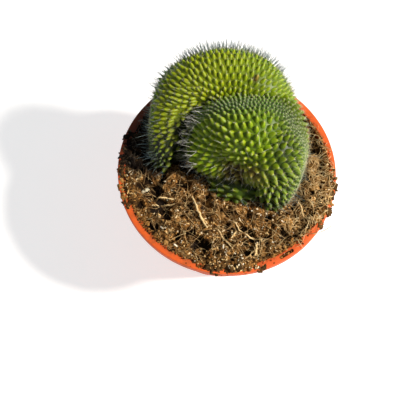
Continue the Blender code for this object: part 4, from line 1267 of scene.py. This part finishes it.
def rim_places(draw, count):
    """Loose soil on the rim: an uneven fringe, thick in front and thin behind, and some in the slots."""
    bearing = draw.uniform(-math.pi, math.pi, count)
    front = smoothstep(0.3, -0.4, np.sin(bearing))
    around = bearing * RIM_RADIUS / (5 * MM)
    uneven = smoothstep(-0.5, 0.7, value_noise(around, around * 0 + 0.5, 8))
    at_right = smoothstep(0.72, 0.92, np.cos(bearing))
    extent = 1.0 * MM + (FRINGE_FRONT * front + FRINGE_RIGHT * (1 - front) * at_right) * uneven
    reach = FLANGE_INNER - 0.6 * MM + extent * draw.random(count) ** 1.5
    strayed = draw.random(count) < 0.03
    reach[strayed] = FLANGE_INNER + STRAY_RIM * draw.random(int(strayed.sum()))
    keep = draw.random(count) < 0.25 + 0.75 * np.maximum(front, at_right)
    keep &= (np.abs(bearing - BARE_BEARING) > 0.42) | (reach < FLANGE_INNER + 2.4 * MM)
    size = draw.uniform(0.25, 0.8, count) * MM
    for slot in SLOT_BEARINGS:
        off = np.abs((bearing - slot + math.pi) % (2 * math.pi) - math.pi)
        keep &= (off > 0.13) | (reach < FLANGE_INNER + 0.8 * MM)
    loose = np.column_stack([reach * np.cos(bearing), reach * np.sin(bearing), RIM_TOP + 0.4 * size])
    rows = np.array([(i, j) for i in np.linspace(-0.5, 0.5, SLOT_ROWS) for j in (-0.5, 0, 0.5)])
    caught = np.tile(rows, (3, 1)) * np.array([SLOT_LENGTH - 1.6 * MM, SLOT_WIDTH - 1.3 * MM])
    caught += draw.uniform(-0.2, 0.2, caught.shape) * MM
    turn = np.repeat(SLOT_BEARINGS, len(rows))
    out = SLOT_RADIUS + caught[:, 1]
    slot_x = out * np.cos(turn) - caught[:, 0] * np.sin(turn)
    slot_y = out * np.sin(turn) + caught[:, 0] * np.cos(turn)
    slot_z = RIM_TOP - draw.uniform(1.3, 1.9, len(turn)) * MM
    spots = np.vstack([loose[keep], np.column_stack([slot_x, slot_y, slot_z])])
    return spots, np.concatenate([size[keep], draw.uniform(1.0, 1.4, len(turn)) * MM])


# Bark and coir chips: matt splinters, each of its own tint from black bark to bleached coir, with
# darker flecks. The palest ones catch the light and give the soil its sparkle.
FLECK = 0.8 * MM
CHIP_TINTS = (
    (0.0, "#0E0703"), (0.26, "#3A220C"), (0.44, "#8E5A27"),
    (0.62, "#CC9450"), (0.84, "#F0CC8C"), (1.0, "#FFF4D8"),
)
litter = new_material("bark_and_coir_chips")
place = add(litter, "TexCoord", {}, "Object")
fleck = add(litter, "TexNoise", {"Vector": place, "Scale": 1 / FLECK, "Detail": 3, "Roughness": 0.7})
lump = add(litter, "Attribute", {}, "Fac", attribute_name="lump")
colour = add(litter, "ValToRGB", {"Fac": lump}, stops=CHIP_TINTS)
flecked = add(litter, "MapRange", {"Value": fleck, "From Min": 0.40, "From Max": 0.60, "To Max": 0.352})
# Painted shadow: left of the plant the chips are darkened near black.
for share, darker in ((flecked, "#3A2612"), (painted_plant_shadow(litter, place), "#100E0E")):
    colour = add(litter, "Mix", {0: share, 6: colour, 7: darker}, 2, data_type="RGBA")
relief = add(litter, "Bump", {"Height": fleck, "Distance": 0.4 * MM, "Strength": 0.8})
splintery = {"Base Color": colour, "Normal": relief, "Roughness": 0.9, "Specular IOR Level": 0.1}
add(litter, "OutputMaterial", {"Surface": add(litter, "BsdfPrincipled", splintery)})

draw = np.random.default_rng(52)
on_rim = rim_places(draw, 6500)
for name, (spots, sizes), thin, palest, seed in (
    ("chips_long", chip_places(draw, 1700, (1.0, 2.2)), 0.32, 1, 10),
    ("chips_short", chip_places(draw, 7000, (0.4, 1.1)), 0.6, 1, 11),
    ("rim_soil", on_rim, 0.75, 0.62, 8),
):
    made = chips(spots, sizes, thin, seed)
    tone = np.repeat(draw.random(len(spots)) * palest, len(made[0]) // len(spots))
    piece(name, made, litter, "peat_and_coir", smooth=False, lump=tone)


# The straws: eight thicker pieces of dry straw and root, each with a forked end. They lie loose on
# the clods where the photograph shows them, and bridge the hollows between.
STRAW_STEPS = 22
FORK_STEPS = 10
STRAW_WANDER = 0.22 * MM
# Each straw is its route's x, y points and its radius, in mm.
STRAWS = (
    (((-24, -27), (-20, -34.5), (-16, -42), (-9, -51)), 1.1),
    (((9, -42), (14.5, -47.5), (22, -52.5), (33, -54.5)), 0.8),
    (((29, -58), (29.5, -63), (29, -68)), 1.2),
    (((13.5, -48.5), (11.5, -53), (10, -57)), 0.8),
    (((-1, -50), (5, -58), (12, -66)), 0.7),
    (((-51, -32.5), (-44, -31.5), (-37.5, -32)), 0.8),
    (((-51, -36.5), (-44.5, -36), (-37, -34.8)), 0.8),
    (((57, -20), (61, -27), (64, -36)), 0.7),
)


def strand(path, radii, sides=5):
    """A tube along points, with a radius at each and closed ends."""
    path = np.asarray(path, float)
    along = unit(np.gradient(path, axis=0))
    side = unit(np.cross(along, np.array([0.1, 0.05, 1.0])))
    circle = rings(side, np.cross(along, side), sides)
    verts = (path[:, None] + circle * np.asarray(radii)[:, None, None]).reshape(-1, 3)
    last = (len(path) - 1) * sides
    caps = []
    for i in range(1, sides - 1):
        caps += [(0, i + 1, i), (last, last + i, last + i + 1)]
    return verts, np.vstack([halved(bands(len(path), sides)), caps])


def lay(points, lift):
    """Heights for points on the soil: over the lumps under them, with hollows bridged."""
    tops = np.array([max(bed_top(x + dx, y) for dx in (-0.8 * MM, 0, 0.8 * MM)) for x, y in points])
    smooth = tops.copy()
    for _ in range(3):
        padded = np.concatenate([smooth[:1], smooth, smooth[-1:]])
        smooth = np.maximum(smooth, (padded[:-2] + padded[2:]) / 2)
    return np.column_stack([points, smooth + lift])


# Dry straw: hard, smooth enough for a faint sheen, and bleached nearly white along some streaks.
STREAK = 0.8 * MM
straw = new_material("dry_straw")
place = add(straw, "TexCoord", {}, "Object")
streak = add(straw, "TexNoise", {"Vector": place, "Scale": 1 / STREAK, "Detail": 4, "Roughness": 0.6})
STRAW_TINTS = ((0.3, "#C0945A"), (0.55, "#E6C88E"), (0.75, "#F6E6BC"))
colour = add(straw, "ValToRGB", {"Fac": streak}, stops=STRAW_TINTS)
relief = add(straw, "Bump", {"Height": streak, "Distance": 0.2 * MM, "Strength": 1.0})
dry = {"Base Color": colour, "Normal": relief, "Roughness": 0.7}
add(straw, "OutputMaterial", {"Surface": add(straw, "BsdfPrincipled", dry)})
fork = np.array([2.6, 1.2, 0]) * MM * np.linspace(0, 1, FORK_STEPS)[:, None]
for number, (route, radius) in enumerate(STRAWS):
    given = np.array(route, float) * MM
    run = np.concatenate([[0], np.cumsum(np.linalg.norm(np.diff(given, axis=0), axis=1))])
    marks = np.linspace(0, run[-1], STRAW_STEPS)
    path = np.column_stack([np.interp(marks, run, given[:, k]) for k in (0, 1)])
    path += np.random.default_rng(80 + number).normal(0, STRAW_WANDER, path.shape)
    path = lay(path, radius * MM * 0.9)
    taper = radius * MM * (0.55 + 0.4 * np.sin(np.linspace(0.3, 2.6, STRAW_STEPS)))
    stem = strand(path, taper * 0.8, 6)
    branch = strand(path[-FORK_STEPS:] + fork, np.linspace(0.4, 0.12, FORK_STEPS) * radius * MM, 5)
    piece(f"dry_straw_{number + 1}", join([stem, branch]), straw, "dry_straw", (f"straw_{number + 1}",))


# The coir: hundreds of curved hairs of coconut fibre, 4 to 20 mm long, laid over the clods in all
# directions and arched a little off them. A bleached mat of them lies at the right, and one wisp
# reaches out over the rim there.
FIBRE_STEPS = 6
COIR_OUT_TO = 79 * MM
# The wisp's points are x, y and the height over the rim, in mm.
WISP = ((64, -45, 3), (70, -46, 4.5), (74, -45, 5.2), (78.5, -42, 5.0), (83, -38, 4.2))


def make_fibres(count, lengths, radius, seed, at_right=False):
    """Curved hairs that lie on the soil, clear of the plant. Lengths and the radius are in mm."""
    draw = np.random.default_rng(seed)
    furthest = (85.5 if at_right else 82) * MM
    arch = np.sin(np.linspace(0, math.pi, FIBRE_STEPS))
    parts = []
    while len(parts) < count:
        bearing, out = draw.uniform(0, 2 * math.pi), COIR_OUT_TO * math.sqrt(draw.uniform(0, 1))
        if at_right:
            bearing, out = math.radians(draw.uniform(-42, 24)), draw.uniform(60, 84) * MM
        x, y, heading = out * math.cos(bearing), out * math.sin(bearing), draw.uniform(0, 2 * math.pi)
        turn = draw.normal(0, 0.22)
        step = draw.uniform(*lengths) * MM / (FIBRE_STEPS - 1)
        spots = []
        for _ in range(FIBRE_STEPS):
            spots.append((x, y))
            x += math.cos(heading) * step
            y += math.sin(heading) * step
            heading += turn + draw.normal(0, 0.15)
        spots = np.array(spots)
        if np.hypot(*spots.T).max() > furthest or not clear_of_plant(*spots.T, 1.5 * MM).all():
            continue
        path = lay(spots, radius * MM)
        path[:, 2] += draw.uniform(0, 1.3) * MM * arch
        path[:, 2] += draw.uniform(-0.3, 1.2) * MM * np.linspace(0, 1, FIBRE_STEPS)
        parts.append(strand(path, np.full(FIBRE_STEPS, radius * MM * draw.uniform(0.6, 1.2)), 3))
    return join(parts)


# Coir: a hard dull fibre that runs from brown to straw colour along the pile, with the plant's
# shadow painted near black on it at the left. Bleached coir is the same fibre dried by the sun.
COIR_PATCH = 5 * MM
COIR_TINTS = {
    "coir_fibres": ((0.3, "#6E4E27"), (0.5, "#B08A55"), (0.7, "#E4C890")),
    "bleached_coir": ((0.3, "#B08A50"), (0.5, "#D8B478"), (0.7, "#F0DAA8")),
}
coir = {}
for name, stops in COIR_TINTS.items():
    fibre = new_material(name)
    place = add(fibre, "TexCoord", {}, "Object")
    pile = add(fibre, "TexNoise", {"Vector": place, "Scale": 1 / COIR_PATCH, "Detail": 2, "Roughness": 0.6})
    colour = add(fibre, "ValToRGB", {"Fac": pile}, stops=stops)
    if name == "coir_fibres":
        # Painted shadow: left of the plant the fibres are darkened near black.
        left_shadow_share = painted_plant_shadow(fibre, place)
        colour = add(fibre, "Mix", {0: left_shadow_share, 6: colour, 7: "#16120F"}, 2, data_type="RGBA")
    hard = add(fibre, "BsdfPrincipled", {"Base Color": colour, "Roughness": 0.75})
    add(fibre, "OutputMaterial", {"Surface": hard})
    coir[name] = fibre
wisp = strand(np.array(WISP) * MM + np.array([0, 0, RIM_TOP]), np.full(len(WISP), 0.24 * MM), 4)
fine_coir = join([make_fibres(760, (4, 12), 0.12, 91), wisp])
piece("coir_fine", fine_coir, coir["coir_fibres"], "peat_and_coir")
bleached = make_fibres(250, (5, 14), 0.18, 93, at_right=True)
piece("coir_bleached", bleached, coir["bleached_coir"], "peat_and_coir")
piece("coir_coarse", make_fibres(140, (7, 20), 0.22, 92), coir["coir_fibres"], "peat_and_coir")


# The boxes of the solids and of all that is shown, in metres.
size = {"cad": cad_box, "visual": [list(corner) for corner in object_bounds()]}
